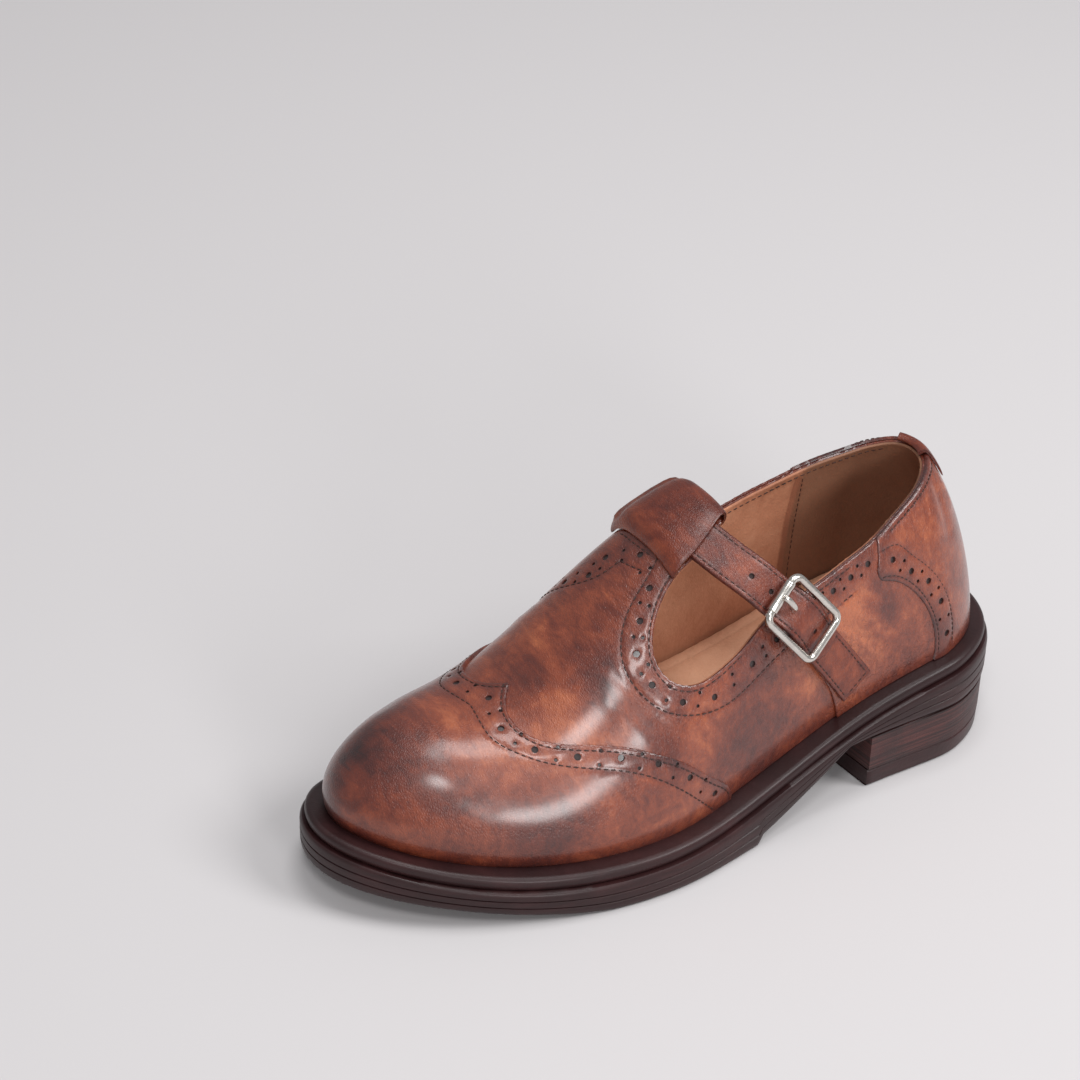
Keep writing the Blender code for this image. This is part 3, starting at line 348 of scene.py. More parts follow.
def buildTables():
    held = np.clip(ribT, 0, lastT)
    grid = lastPoint(held[:, None], steps[None])
    run = np.linalg.norm(np.diff(grid, axis=1), axis=2)
    far = np.concatenate([np.zeros((ribCount, 1)), np.cumsum(run, 1)], 1)
    vAt = np.stack([np.interp(steps * row[-1], row, steps) for row in far])
    base = featherAt(held)
    topY = spineY(base[:, 1])
    fineY = np.linspace(topY.min(), topY.max(), 900)
    ridge = np.stack([ridgeXAt(fineY), fineY, ridgeAt(fineY)], -1)
    ridgeFar = lengths(ridge)
    ridgeFar -= np.interp(size["fanFrontY"], fineY, ridgeFar)
    ridgeQ = np.interp(topY, fineY, ridgeFar)
    middle = lastPoint(held, vAt[:, int(stepCount * 0.62)])
    reach = unit(base - np.stack([ridgeXAt(topY), topY], -1))
    toe = int(np.argmin(np.abs(ribT - toeFar)))
    side = np.where(np.arange(ribCount) < toe, 1.0, -1.0)
    level = smooth((base[:, 1] + 10) / 20)[:, None]
    reach = unit(reach * (1 - level) + np.stack([side, 0 * side], -1) * level)
    along = np.zeros(ribCount)
    along[toe] = ridgeQ[toe]
    for way in (-1, 1):
        i = toe
        while 0 <= i + way < ribCount:
            j = i + way
            blend = float(smooth((base[j, 1] - 25) / 30))
            onRidge = abs(ridgeQ[j] - ridgeQ[i])
            along[j] = along[i] + onRidge * (1 - blend) + np.linalg.norm(middle[j] - middle[i]) * blend
            i = j
    split = toe + int(np.argmin(np.abs(reach[toe - 12 : toe + 13, 0]))) - 12
    return far[:, -1], vAt, along, reach, split


ribLong, ribV, ribQ, ribWay, ribSplit = buildTables()


def ribLength(t):
    return np.interp(np.mod(t, around), ribT, ribLong)


def ribRow(t):
    row = np.clip(t / around * (ribCount - 1), 0, ribCount - 1.000001)
    return row.astype(int), row - row.astype(int)


def patternOf(t, far):
    i, a = ribRow(np.asarray(t, float))
    q = ribQ[i] * (1 - a) + ribQ[i + 1] * a
    way = unit(ribWay[i] * (1 - a)[..., None] + ribWay[i + 1] * a[..., None])
    return np.stack([way[..., 0] * far, q + way[..., 1] * far], -1)


def ribsOf(pattern):
    p, q = pattern[:, 0], pattern[:, 1]
    t, far = np.zeros(len(p)), np.zeros(len(p))
    for sign in (1, -1):
        chosen = np.nonzero(p >= 0 if sign == 1 else p < 0)[0]
        rows = np.arange(0, ribSplit + 3) if sign == 1 else np.arange(ribCount - 1, ribSplit - 3, -1)
        way, start, place = ribWay[rows], ribQ[rows], ribT[rows]
        for part in np.array_split(chosen, max(1, len(chosen) // 4000)):
            cross = sign * (way[:, 0] * (q[part, None] - start) - way[:, 1] * p[part, None])
            hit = cross > 1e-9
            k = np.clip(np.where(hit.any(1), hit.argmax(1), len(rows) - 1), 1, len(rows) - 1)
            each = np.arange(len(part))
            below, above = cross[each, k - 1], cross[each, k]
            a = np.clip(-below / np.where(above == below, 1, above - below), 0, 1)
            t[part] = place[k - 1] + (place[k] - place[k - 1]) * a
            far[part] = np.hypot(p[part], q[part] - (start[k - 1] + (start[k] - start[k - 1]) * a))
    return t, far


def vOf(t, far):
    i, a = ribRow(np.mod(t, around))
    long = ribLong[i] * (1 - a) + ribLong[i + 1] * a
    column = np.clip(far / long, 0, 1) * (stepCount - 1)
    j = np.minimum(column.astype(int), stepCount - 2)
    b = column - j
    near = ribV[i, j] * (1 - a) + ribV[i + 1, j] * a
    further = ribV[i, j + 1] * (1 - a) + ribV[i + 1, j + 1] * a
    return near * (1 - b) + further * b


def placeAndNormal(t, far):
    v = vOf(t, far)
    here = lastPoint(t, v)
    held = np.clip(v, 0.03, 0.985)
    ahead = lastPoint(t + 0.4, held) - lastPoint(t - 0.4, held)
    down = lastPoint(t, held + 0.012) - lastPoint(t, held - 0.012)
    return here, unit(np.cross(down, ahead))


# At the back centre and above it the walls face outward, at the ridge they face up
probe = placeAndNormal(np.array([90.0]), np.array([70.0]))[1][0]
facing = 1.0 if probe[0] > 0 else -1.0


def onLast(pattern, lift=0.0):
    t, far = ribsOf(np.asarray(pattern, float))
    # Both sides of the back seam take the same places
    atSeam = np.minimum(t, around - t) < 0.02
    t, far = np.where(atSeam, 0.0, t), np.where(atSeam, np.round(far, 2), far)
    here, normal = placeAndNormal(t, far)
    return here + normal * facing * np.asarray(lift, float).reshape(-1, 1)


def upWall(t, high):
    t = np.asarray(t, float)
    return patternOf(t, ribLength(np.minimum(t, lastT)) - high)


def inside(points, loop):
    x, y = points[:, 0], points[:, 1]
    result = np.zeros(len(points), bool)
    for (ax, ay), (bx, by) in zip(loop, np.roll(loop, -1, axis=0)):
        crosses = (ay > y) != (by > y)
        with np.errstate(divide="ignore", invalid="ignore"):
            result ^= crosses & (x < (bx - ax) * (y - ay) / (by - ay) + ax)
    return result


def turnsLeft(flat, faces):
    a, b, c = (flat[faces[:, k]] for k in range(3))
    return (b[:, 0] - a[:, 0]) * (c[:, 1] - a[:, 1]) - (b[:, 1] - a[:, 1]) * (c[:, 0] - a[:, 0]) > 0


def areaOf(ring):
    x, y = ring[:, 0], ring[:, 1]
    return np.sum(x * np.roll(y, -1) - np.roll(x, -1) * y)


def outsideOut(points, faces):
    faces = np.array(faces)
    a, b, c = (points[faces[:, k]] for k in range(3))
    return faces[:, ::-1] if np.einsum("ij,ij->i", a, np.cross(b, c)).sum() < 0 else faces


# Buckle: along the strap, across it and out from the shoe
spot = np.array([[buckleSpot["across"], buckleSpot["along"]]])
buckleHere = onLast(spot, 0.0)[0]
buckleAlong = onLast([buckleSpot["toward"]], 0.0)[0] - onLast(2 * spot - buckleSpot["toward"], 0.0)[0]
buckleAlong /= np.linalg.norm(buckleAlong)
buckleUp = onLast(spot, 1.0)[0] - buckleHere
buckleUp -= buckleAlong * (buckleUp @ buckleAlong)
buckleUp /= np.linalg.norm(buckleUp)
buckleAcross = np.cross(buckleAlong, buckleUp)


def bucklePlace(along, across, lift):
    return buckleHere + buckleAlong * along + buckleAcross * across + buckleUp * lift


wire = size["wire"] / 2

# Sole outline rings in millimetres, finer than the frame's
stepY = (0.5 - size["treadEnd"]) * length
ringCount = 420
ringT = np.linspace(0, around, ringCount + 1)[:-1]


def outward(t):
    return -leftOf(featherAt(t + 0.5) - featherAt(t - 0.5))


def topZ(xy):
    return soleTopAt(share(xy[:, 1]))


ringBase = featherAt(ringT)
ringOut = outward(ringT)
if (ringOut * (ringBase - ringBase.mean(0))).sum() < 0:
    ringOut = -ringOut
toeward = smooth((share(ringBase[:, 1]) - 0.25) / 0.4)
flange = size["heelFlange"] + (size["toeFlange"] - size["heelFlange"]) * toeward
stepOut = size["lowerStepHeel"] + (size["lowerStepToe"] - size["lowerStepHeel"]) * toeward
edge = flange + stepOut
rollerLow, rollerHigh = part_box("buckle_roller")
rollerMiddle = np.array((rollerLow + rollerHigh) * 500)[:2]
rollerSpot = bucklePlace(wire - size["frameLong"] / 2, 0.0, buckleSpot["frame"])[:2]
shift = np.array([*(rollerMiddle - rollerSpot), 0.0])
print("shift of the frame", shift.round(2))


# Shader maths
class Value:
    def __init__(self, tree, socket):
        self.tree, self.socket = tree, socket

    def join(self, operation, first, second=0.0, limit=False):
        node = self.tree.nodes.new("ShaderNodeMath")
        node.operation, node.use_clamp = operation, limit
        for slot, item in zip(node.inputs, (first, second)):
            if isinstance(item, Value):
                self.tree.links.new(item.socket, slot)
            else:
                slot.default_value = item
        return Value(self.tree, node.outputs[0])

    def __add__(self, other):
        return self.join("ADD", self, other)

    def __sub__(self, other):
        return self.join("SUBTRACT", self, other)

    def __rsub__(self, other):
        return self.join("SUBTRACT", other, self)

    def __mul__(self, other):
        return self.join("MULTIPLY", self, other)

    def held(self):
        return self.join("ADD", self, 0.0, True)

    __radd__, __rmul__ = __add__, __mul__


class Finish:
    def __init__(self, name, **fixed):
        self.material = bpy.data.materials.new(name)
        self.material.use_nodes = True
        self.tree = self.material.node_tree
        self.shader = next(node for node in self.tree.nodes if node.type == "BSDF_PRINCIPLED")
        for socket, value in fixed.items():
            self.shader.inputs[socket.replace("_", " ")].default_value = value
        self.place = self.node("ShaderNodeTexCoord", output="Object")

    def node(self, kind, settings=None, values=None, output=0):
        made = self.tree.nodes.new(kind)
        for key, value in (settings or {}).items():
            setattr(made, key, value)
        for key, value in (values or {}).items():
            if isinstance(value, Value):
                self.tree.links.new(value.socket, made.inputs[key])
            else:
                made.inputs[key].default_value = value
        return Value(self.tree, made.outputs[output])

    def stretched(self, scale, turn=(0.0, 0.0, 0.0)):
        values = {"Vector": self.place, "Scale": scale, "Rotation": turn}
        return self.node("ShaderNodeMapping", values=values)

    def noise(self, scale, detail=3.0, rough=0.55, warp=0.0, place=None):
        values = {"Vector": place or self.place, "Scale": scale, "Detail": detail}
        values.update({"Roughness": rough, "Distortion": warp})
        return self.node("ShaderNodeTexNoise", values=values)

    def cells(self, scale, place=None):
        values = {"Vector": place or self.place, "Scale": scale}
        return self.node("ShaderNodeTexVoronoi", {"feature": "DISTANCE_TO_EDGE"}, values)

    def attribute(self, name):
        return self.node("ShaderNodeAttribute", {"attribute_name": name}, output="Fac")

    def ramp(self, factor, stops):
        ramp = self.node("ShaderNodeValToRGB", values={0: factor})
        marks = ramp.socket.node.color_ramp.elements
        while len(marks) < len(stops):
            marks.new(0.5)
        for mark, (at, colour) in zip(marks, stops):
            mark.position, mark.color = at, (*colour, 1)
        return ramp

    def blend(self, factor, first, second):
        mixed = self.tree.nodes.new("ShaderNodeMix")
        mixed.data_type = "RGBA"
        for slot, item in ((0, factor), (6, first), (7, second)):
            if isinstance(item, Value):
                self.tree.links.new(item.socket, mixed.inputs[slot])
            else:
                mixed.inputs[slot].default_value = (*item, 1) if slot else item
        return Value(self.tree, mixed.outputs[2])

    def bump(self, height, distance, strength=1.0):
        values = {"Height": height, "Distance": distance, "Strength": strength}
        return self.node("ShaderNodeBump", values=values)

    def feed(self, **sockets):
        for name, value in sockets.items():
            self.tree.links.new(value.socket, self.shader.inputs[name.replace("_", " ")])


leatherTones = {
    "deep": (0.018, 0.0030, 0.0030),
    "dark": (0.056, 0.0082, 0.0054),
    "red": (0.124, 0.0200, 0.0084),
    "cognac": (0.228, 0.0450, 0.0162),
    "pale": (0.398, 0.1060, 0.0390),
}


def leather(name, darker=0.0, wrinkled=0.5, coat=0.85):
    finish = Finish(name, Coat_Weight=coat, Coat_Roughness=0.22)
    cloud = finish.noise(24.0, 3.0, 0.5, 0.6)
    patch = finish.noise(75.0, 4.0, 0.65, 0.8)
    streak = finish.noise(1.0, 3.0, 0.6, 0.6, finish.stretched((120, 420, 260), (0.3, 0.5, 0.7)))
    fleck = finish.noise(900.0, 2.0, 0.6)
    # The first attribute darkens: near the rims, as painted shade at seams, holes and the foot of the wall,
    # and with stains that are partly painted shade
    darkeningAndShade, rub = finish.attribute("darkeningAndShade"), finish.attribute("rub")
    tone = (cloud - 0.5) * 1.10 + (patch - 0.5) * 0.70 + (streak - 0.5) * 0.5 + (fleck - 0.5) * 0.12
    # The second attribute lightens the leather: partly wear, partly a painted highlight on raised rims and
    # crease ridges
    tone = (tone + (0.62 - darker) - darkeningAndShade * 0.62 + rub * 0.18).held()
    stops = zip((0.04, 0.24, 0.47, 0.70, 0.95), leatherTones.values())
    # Hole floors take a near-black colour: painted shade
    holeShade = finish.attribute("holeShade")
    colour = finish.blend(holeShade, finish.ramp(tone, list(stops)), (0.022, 0.009, 0.008))
    grain = finish.noise(1500.0, 3.0, 0.65)
    cross = finish.cells(1000.0, finish.stretched((1.0, 1.5, 0.8), (0.4, 0.2, 0.6)))
    crease = finish.noise(1.0, 2.0, 0.5, 1.6, finish.stretched((150, 520, 330), (0.5, 0.3, 0.55)))
    height = grain * 0.12 + cross * 0.32 + crease * wrinkled * finish.attribute("worn") * 2.0 + streak * 0.15
    finish.feed(
        Base_Color=colour,
        Roughness=(0.26 + patch * 0.16 + grain * 0.10 + holeShade * 0.4 - rub * 0.06),
        Normal=finish.bump(height, 0.0008, 0.8),
    )
    return finish.material


def plainLeather(name, stops, rough, grainSize, depth):
    finish = Finish(name, Roughness=rough)
    cloud = finish.noise(42.0, 4.0, 0.6, 0.8)
    fine = finish.noise(grainSize, 3.0, 0.7)
    folds = finish.noise(1.0, 1.0, 0.4, 0.8, finish.stretched((30, 80, 45), (0.2, 0.3, 0.5)))
    # The first attribute darkens near the rims and, as painted shade, at seams and the foot of the wall;
    # where it is negative it is painted light
    tone = (cloud * 0.8 + fine * 0.3 - finish.attribute("darkeningAndShade") * 0.5 - 0.02).held()
    colour = finish.blend(finish.attribute("grip") * 0.85, finish.ramp(tone, stops), (0.215, 0.098, 0.055))
    finish.feed(Base_Color=colour, Normal=finish.bump(fine * 0.35 + folds * 0.9, depth, 0.7))
    return finish.material


def soleRubber(name, tint=1.0):
    finish = Finish(name, Specular_IOR_Level=0.36, Coat_Weight=0.1, Coat_Roughness=0.2)
    cloud = finish.noise(30.0, 4.0, 0.6, 0.5)
    rubbed = finish.noise(1.0, 3.0, 0.6, 0.4, finish.stretched((45, 45, 420)))
    tone = (cloud * 0.6 + rubbed * 0.45).held()
    tones = ((0.010, 0.0028, 0.0030), (0.022, 0.0062, 0.0067), (0.050, 0.0145, 0.0150))
    stops = [(at, tuple(tint * part for part in paint)) for at, paint in zip((0.25, 0.55, 0.85), tones)]
    finish.feed(
        Base_Color=finish.ramp(tone, stops),
        Roughness=0.34 + cloud * 0.2,
        Normal=finish.bump(finish.noise(700.0, 3.0, 0.7) * 0.5 + rubbed * 0.4, 0.0003, 0.6),
    )
    return finish.material


def stackedHeel(name):
    finish = Finish(name)
    layers = finish.noise(1.0, 5.0, 0.75, 0.3, finish.stretched((14, 14, 900)))
    cloud = finish.noise(60.0, 3.0, 0.6, 0.8)
    tone = (layers * 1.1 + cloud * 0.3 - 0.2).held()
    stops = [(0.3, (0.010, 0.004, 0.004)), (0.5, (0.034, 0.011, 0.011)), (0.72, (0.105, 0.030, 0.026))]
    finish.feed(
        Base_Color=finish.ramp(tone, stops),
        Roughness=0.38 + cloud * 0.25,
        Normal=finish.bump(layers, 0.0004, 0.7),
    )
    return finish.material


def brushedNickel(name):
    finish = Finish(name, Metallic=1.0)
    brushed = finish.noise(1.0, 2.0, 0.6, 0.0, finish.stretched((300, 300, 2600)))
    cloud = finish.noise(160.0, 3.0, 0.6)
    stops = [(0.3, (0.60, 0.56, 0.51)), (0.7, (0.80, 0.77, 0.72))]
    finish.feed(
        Base_Color=finish.ramp((brushed * 0.5 + cloud * 0.5).held(), stops),
        Roughness=0.15 + cloud * 0.16,
        Normal=finish.bump(brushed, 0.00006, 0.5),
    )
    return finish.material


def threadFinish(name):
    finish = Finish(name, Roughness=0.6)
    twist = finish.noise(1500.0, 2.0, 0.6)
    tone = finish.ramp(twist, [(0.3, (0.016, 0.005, 0.004)), (0.8, (0.075, 0.026, 0.018))])
    finish.feed(Base_Color=tone, Normal=finish.bump(twist, 0.0002, 0.8))
    return finish.material


upperLeather = leather("upper leather")
strapLeather = leather("strap leather", 0.13, 0.35, 0.3)
loopLeather = leather("loop leather", 0.06, 0.2, 0.3)
liningStops = [(0.2, (0.31, 0.115, 0.062)), (0.5, (0.50, 0.215, 0.120)), (0.85, (0.66, 0.335, 0.205))]
liningLeather = plainLeather("lining leather", liningStops, 0.62, 700.0, 0.0009)
insoleStops = [(0.15, (0.42, 0.195, 0.110)), (0.5, (0.66, 0.350, 0.215)), (0.85, (0.76, 0.45, 0.29))]
insoleLeather = plainLeather("insole leather", insoleStops, 0.55, 800.0, 0.0011)
soleFinish = soleRubber("sole rubber")
liftFinish = soleRubber("heel lift rubber", 1.25)
heelFinish = stackedHeel("stacked heel")
nickel = brushedNickel("brushed nickel")
thread = threadFinish("dark thread")
print("finishes made")


# Meshes
def finished(name, points, faces, material, nodes, sharpAngle, marks=None):
    kept, faces = np.unique(np.array(faces, int), return_inverse=True)
    faces = faces.reshape(-1, 3)
    points = np.asarray(points)[kept]
    mesh = bpy.data.meshes.new(name)
    mesh.from_pydata(((points + shift) * 0.001).tolist(), [], faces.tolist())
    piece = bpy.data.objects.new(name, mesh)
    bpy.context.scene.collection.objects.link(piece)
    mesh.materials.append(material)
    for key, values in (marks or {}).items():
        mesh.attributes.new(key, "FLOAT", "POINT").data.foreach_set("value", np.asarray(values, float)[kept])
    mesh.shade_smooth()
    mesh.set_sharp_from_angle(angle=np.radians(sharpAngle))
    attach(piece, "root")
    if nodes:
        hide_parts(*nodes)
    print(name, len(faces), "triangles")


def nearest(points, samples):
    tree = KDTree(len(samples))
    for number, (x, y) in enumerate(samples):
        tree.insert((x, y, 0), number)
    tree.balance()
    return np.array([tree.find((x, y, 0))[2] for x, y in points])


def resampled(path, spacing, closed=False):
    path = np.asarray(path, float)
    if closed:
        path = np.vstack([path, path[:1]])
    far = lengths(path)
    count = max(2, int(round(far[-1] / spacing)) + 1)
    return pathAt(np.linspace(0, far[-1], count)[: -1 if closed else None], far, path)


def roundness(place, spot):
    step = 0.5
    x, y = np.eye(2) * step
    four = place(np.array([spot + x, spot - x, spot + y, spot - y]), 0.0)
    slope = np.column_stack([four[0] - four[1], four[2] - four[3]]) / (2 * step)
    values, ways = np.linalg.eigh(slope.T @ slope)
    return ways @ np.diag(values**-0.5) @ ways.T


def ringEdges(count, start=0):
    return [(start + i, start + (i + 1) % count) for i in range(count)]


def filled(points, edges, loop, merge=1e-6):
    result = delaunay_2d_cdt([Vector(point) for point in points], edges, [], 0, merge)
    flat = np.array([tuple(point) for point in result[0]])
    faces = np.array([face for face in result[2] if len(face) == 3])
    return flat, faces[inside(flat[faces].mean(1), loop)]


def flatSheet(loop, place, holes, seams, spacing):
    loop = resampled(loop, spacing * 0.75, True)
    inward = leftOf(np.roll(loop, -1, 0) - np.roll(loop, 1, 0))
    if inside(loop + inward * 0.3, loop).mean() <= 0.5:
        inward = -inward
    extra = [loop + inward * inset for inset in (0.3, 0.75)]
    for seam in seams:
        line = drawn(seam, 0.9)
        side = leftOf(np.gradient(line, axis=0)) * 0.6
        extra += [line, line + side, line - side]
    fixed, edges, shapes = [loop], ringEdges(len(loop)), []
    angles = np.arange(12) * np.pi / 6
    for p, q, radius in holes:
        spot = np.array([p, q])
        shape = roundness(place, spot)
        circle = np.column_stack([np.cos(angles), np.sin(angles)]) @ shape.T
        edges += ringEdges(12, sum(len(part) for part in fixed))
        fixed.append(spot + circle * radius)
        extra.append(spot + circle * (radius + 0.35))
        shapes.append((spot, np.linalg.inv(shape), radius))
    low, high = loop.min(0), loop.max(0)
    scatter = []
    for number, y in enumerate(np.arange(low[1], high[1], spacing * 0.866)):
        row = np.arange(low[0] + (number % 2) * spacing / 2, high[0], spacing)
        scatter.append(np.column_stack([row, np.full(len(row), y)]))
    scatter, extra, firm = np.vstack(scatter), np.vstack(extra), np.vstack(fixed)
    extra = extra[inside(extra, loop)]
    extra = extra[nearest(extra, loop) > 0.22]
    scatter = scatter[inside(scatter, loop)]
    scatter = scatter[nearest(scatter, np.vstack([firm, extra])) > spacing * 0.55]
    points = np.vstack([extra, scatter])
    for spot, back, radius in shapes:
        points = points[np.linalg.norm((points - spot) @ back.T, axis=1) > radius + 0.2]
    flat, faces = filled(np.vstack([firm, points]), edges, loop, 1e-5)
    middle = flat[faces].mean(1)
    holed, toHole = np.zeros(len(faces), bool), np.full(len(flat), 99.0)
    for spot, back, radius in shapes:
        holed |= np.linalg.norm((middle - spot) @ back.T, axis=1) < radius * 0.95
        toHole = np.minimum(toHole, np.linalg.norm((flat - spot) @ back.T, axis=1) - radius)
    return flat, faces[~holed], faces[holed], toHole, loop


def openPairs(faces):
    pairs = set(map(tuple, np.vstack([faces[:, [0, 1]], faces[:, [1, 2]], faces[:, [2, 0]]]).tolist()))
    return np.array([pair for pair in pairs if pair[::-1] not in pairs]).reshape(-1, 2)


# How a sheet of leather sinks at its seams and holes, and how far they and its edges are darkened; the
# darkening at the seams, round the holes and along the foot of the wall is painted shade
sunk = {"seam": 0.24, "seamWide": 0.42, "hole": 0.14, "holeWide": 0.25, "holeDeep": 0.75}
darkened = {
    "edge": 0.34,
    "edgeWide": 1.3,
    "foot": 0.30,
    "footWide": 3.5,
    "seam": 0.24,
    "hole": 0.22,
    "wide": 0.6,
}


# A sheet from low to high over its place, with holes sunk in it, dents as (from, to, depth, width), and
# stains, partly painted shade and painted highlight, as (across, along, radius, strength)
def sheet(name, loops, place, low, high, look, nodes=(), holes=(), seams=(), dents=(), **more):
    onShoe, roll = more.get("onShoe", True), more.get("roll", 0.55)
    flats, outFaces, inFaces, toHoles, rims, count = [], [], [], [], [], 0
    for loop in loops:
        mine = [hole for hole in holes if inside(np.array([hole[:2]]), loop)[0]]
        flat, face, holed, toHole, rim = flatSheet(loop, place, mine, seams, more.get("spacing", 1.55))
        outFaces.append(face + count)
        inFaces.append(holed.reshape(-1, 3) + count)
        flats.append(flat)
        toHoles.append(toHole)
        rims.append(resampled(rim, 0.35, True))
        count += len(flat)
    flat, toHole = np.vstack(flats), np.maximum(np.concatenate(toHoles), 0)
    outFaces, inFaces, rims = np.vstack(outFaces), np.vstack(inFaces), np.vstack(rims)
    if onShoe:
        # The back seam and the foot of the wall aren't open edges
        t, far = ribsOf(rims)
        rims = rims[(np.minimum(t, around - t) > 0.4) & (ribLength(t) - far > 0.6)]
    toRim, toSeam = nearest(flat, rims), np.full(count, 99.0)
    if seams:
        toSeam = nearest(flat, np.vstack([drawn(seam, 0.3) for seam in seams]))
    way = 1.0 if high > low else -1.0
    drop = roll - np.sqrt(np.maximum(roll**2 - np.maximum(roll - toRim, 0) ** 2, 0))
    drop = drop + sunk["seam"] * bell(toSeam / sunk["seamWide"])
    drop = drop + sunk["hole"] * np.exp(-toHole / sunk["holeWide"])
    rise, pale = np.zeros(count), np.zeros(count)
    for p0, q0, p1, q1, deep, wide in dents:
        start, run = np.array([p0, q0]), np.array([p1 - p0, q1 - q0])
        along = (flat - start) @ run / (run @ run)
        off = np.linalg.norm(flat - start - np.clip(along, 0, 1)[:, None] * run, axis=1)
        fade = smooth(along * 4 + 0.6) * smooth((1 - along) * 4 + 0.6)
        rise -= deep * bell(off / wide) * fade
        pale = np.maximum(pale, bell((off - wide * 0.8) / (wide * 0.45)) * fade)
    if "swell" in more:
        rise += more["swell"](flat)
    lift = high + way * (rise * smooth(toRim / 3.0) - drop)
    holeFloor = high - way * min(sunk["holeDeep"], abs(high - low) * 0.8)
    lifts = (lift, np.full(count, low), np.full(count, holeFloor))
    front, back, floor = (place(flat, out) for out in lifts)
    if onShoe:
        for layer in (front, back, floor):
            layer[:, 2] = np.maximum(layer[:, 2], topZ(layer[:, :2]) + 0.04)
    # Points that two loops share at the back seam become one
    kept, index = np.unique(np.round(front, 3), axis=0, return_inverse=True)
    index = index.reshape(-1)
    first = np.zeros(len(kept), int)
    first[index] = np.arange(count)
    outFaces, inFaces = first[index[outFaces]], first[index[inFaces]]
    a, b, c = (front[outFaces[:, k]] for k in range(3))
    if (np.cross(b - a, c - a) * (a - back[outFaces[:, 0]])).sum(1).sum() < 0:
        outFaces, inFaces = outFaces[:, ::-1], inFaces[:, ::-1]
    every = np.vstack([outFaces, inFaces])
    faces = [outFaces, every[:, ::-1] + count, inFaces + 2 * count]
    a, b = openPairs(every).T
    faces += [np.column_stack([b, a, a + count]), np.column_stack([b, a + count, b + count])]
    a, b = openPairs(inFaces).T
    deep = 2 * count
    faces += [np.column_stack([a, b, b + deep]), np.column_stack([a, b + deep, a + deep])]
    # Darker near the rims; darker in the sunk seams, round the holes and along the foot of the wall as
    # painted shade
    darkeningAndShade = more.get("edge", darkened["edge"]) * np.exp(-toRim / darkened["edgeWide"])
    darkeningAndShade = darkeningAndShade + darkened["seam"] * np.exp(-toSeam / darkened["wide"])
    darkeningAndShade = darkeningAndShade + darkened["hole"] * np.exp(-toHole / darkened["wide"])
    if onShoe:
        t, far = ribsOf(flat)
        darkeningAndShade += darkened["foot"] * np.exp(-(ribLength(t) - far) / darkened["footWide"])
    # Stains, partly painted shade, and lighter patches, partly painted highlight
    for p, q, radius, strength in more.get("stains", ()):
        darkeningAndShade += strength * np.exp(-(((flat - (p, q)) ** 2).sum(1) / radius**2))
    # Lighter just inside the rolled rims and beside the crease ridges: painted highlight, partly wear
    rub = bell((toRim - 0.9) / 0.5) * more.get("rub", 0.6) + pale * more.get("pale", 0.35)
    worn = more.get("worn", 0.25)
    worn = worn(flat) if callable(worn) else np.full(count, worn)
    grip = more["grip"](flat) if "grip" in more else np.zeros(count)
    marks = {"darkeningAndShade": darkeningAndShade, "rub": rub, "worn": worn, "grip": grip}
    marks = {key: np.tile(values, 3) for key, values in marks.items()}
    # The hole floors are marked for the near-black painted shade
    marks["holeShade"] = np.repeat((0.0, 0.0, 1.0), count)
    points = np.vstack([front, back, floor])
    finished(name, points, np.vstack(faces), look, nodes, 48, marks)


# Stitches: four rings and two ends each, all joined into one piece at the close
stitch = {"long": 1.7, "pitch": 2.45, "thick": 0.25, "sides": 6, "flat": 0.8}
stitchRings = ((-0.86, 0.6), (-0.4, 1), (0.4, 1), (0.86, 0.6))
stitchPoints = []


def sewn(lines, place, lift, **more):
    long, pitch, thick = (more.get(key, stitch[key]) for key in ("long", "pitch", "thick"))
    angles = np.arange(stitch["sides"]) * 2 * np.pi / stitch["sides"]
    for line in lines:
        fine = drawn(line, 0.15)
        here, above = place(fine, np.full(len(fine), lift)), place(fine, np.full(len(fine), lift + 1.0))
        far = lengths(here)
        for middle in np.arange(pitch / 2, far[-1] - pitch / 2 + 0.01, pitch):
            way = pathAt(middle + long / 2, far, here) - pathAt(middle - long / 2, far, here)
            way /= np.linalg.norm(way)
            spot = pathAt(middle, far, here)
            side = np.cross(way, pathAt(middle, far, above - here))
            side /= np.linalg.norm(side)
            up = np.cross(side, way)
            ring = np.cos(angles)[:, None] * side + np.sin(angles)[:, None] * up * stitch["flat"]
            rings = [spot + way * (s * long / 2) + ring * thick * wide for s, wide in stitchRings]
            stitchPoints.append(np.vstack([*rings, spot - way * long / 2, spot + way * long / 2]))


def stitchFaces(sides):
    faces = []
    for row in range(3):
        low, top = row * sides, (row + 1) * sides
        for i, j in ringEdges(sides):
            faces += [(low + i, low + j, top + j), (low + i, top + j, top + i)]
    tail, head, last = 4 * sides, 4 * sides + 1, 3 * sides
    faces += [(tail, j, i) for i, j in ringEdges(sides)]
    faces += [(head, last + i, last + j) for i, j in ringEdges(sides)]
    return np.array(faces)


# Edges of the pieces on the pattern
def sideT(t, inner):
    return around - np.asarray(t, float) if inner else np.asarray(t, float)


def heightLine(rows, inner):
    return [tuple(upWall(sideT(t, inner), h)) for t, h in rows]


def foot(t, inner):
    return tuple(upWall(sideT(t, inner), 0.0))


# The inner side repeats the outer one, mirrored and a little smaller
def flip(rows, centre=4.5, scale=0.955):
    return [(centre - (row[0] - centre) * scale, *row[1:]) for row in rows]


counterFoot = counterEdge[-1][0] + 0.4
quarterFlip = (10.5, 0.93)
quarterTuck = 0.9  # how far the quarter runs on under the counter


def counterFront(inner, ahead=0.0):
    rows = heightLine([(t + ahead, h) for t, h in counterEdge], inner)
    return drawn(rows + [foot(counterFoot + ahead, inner)], 1.0)


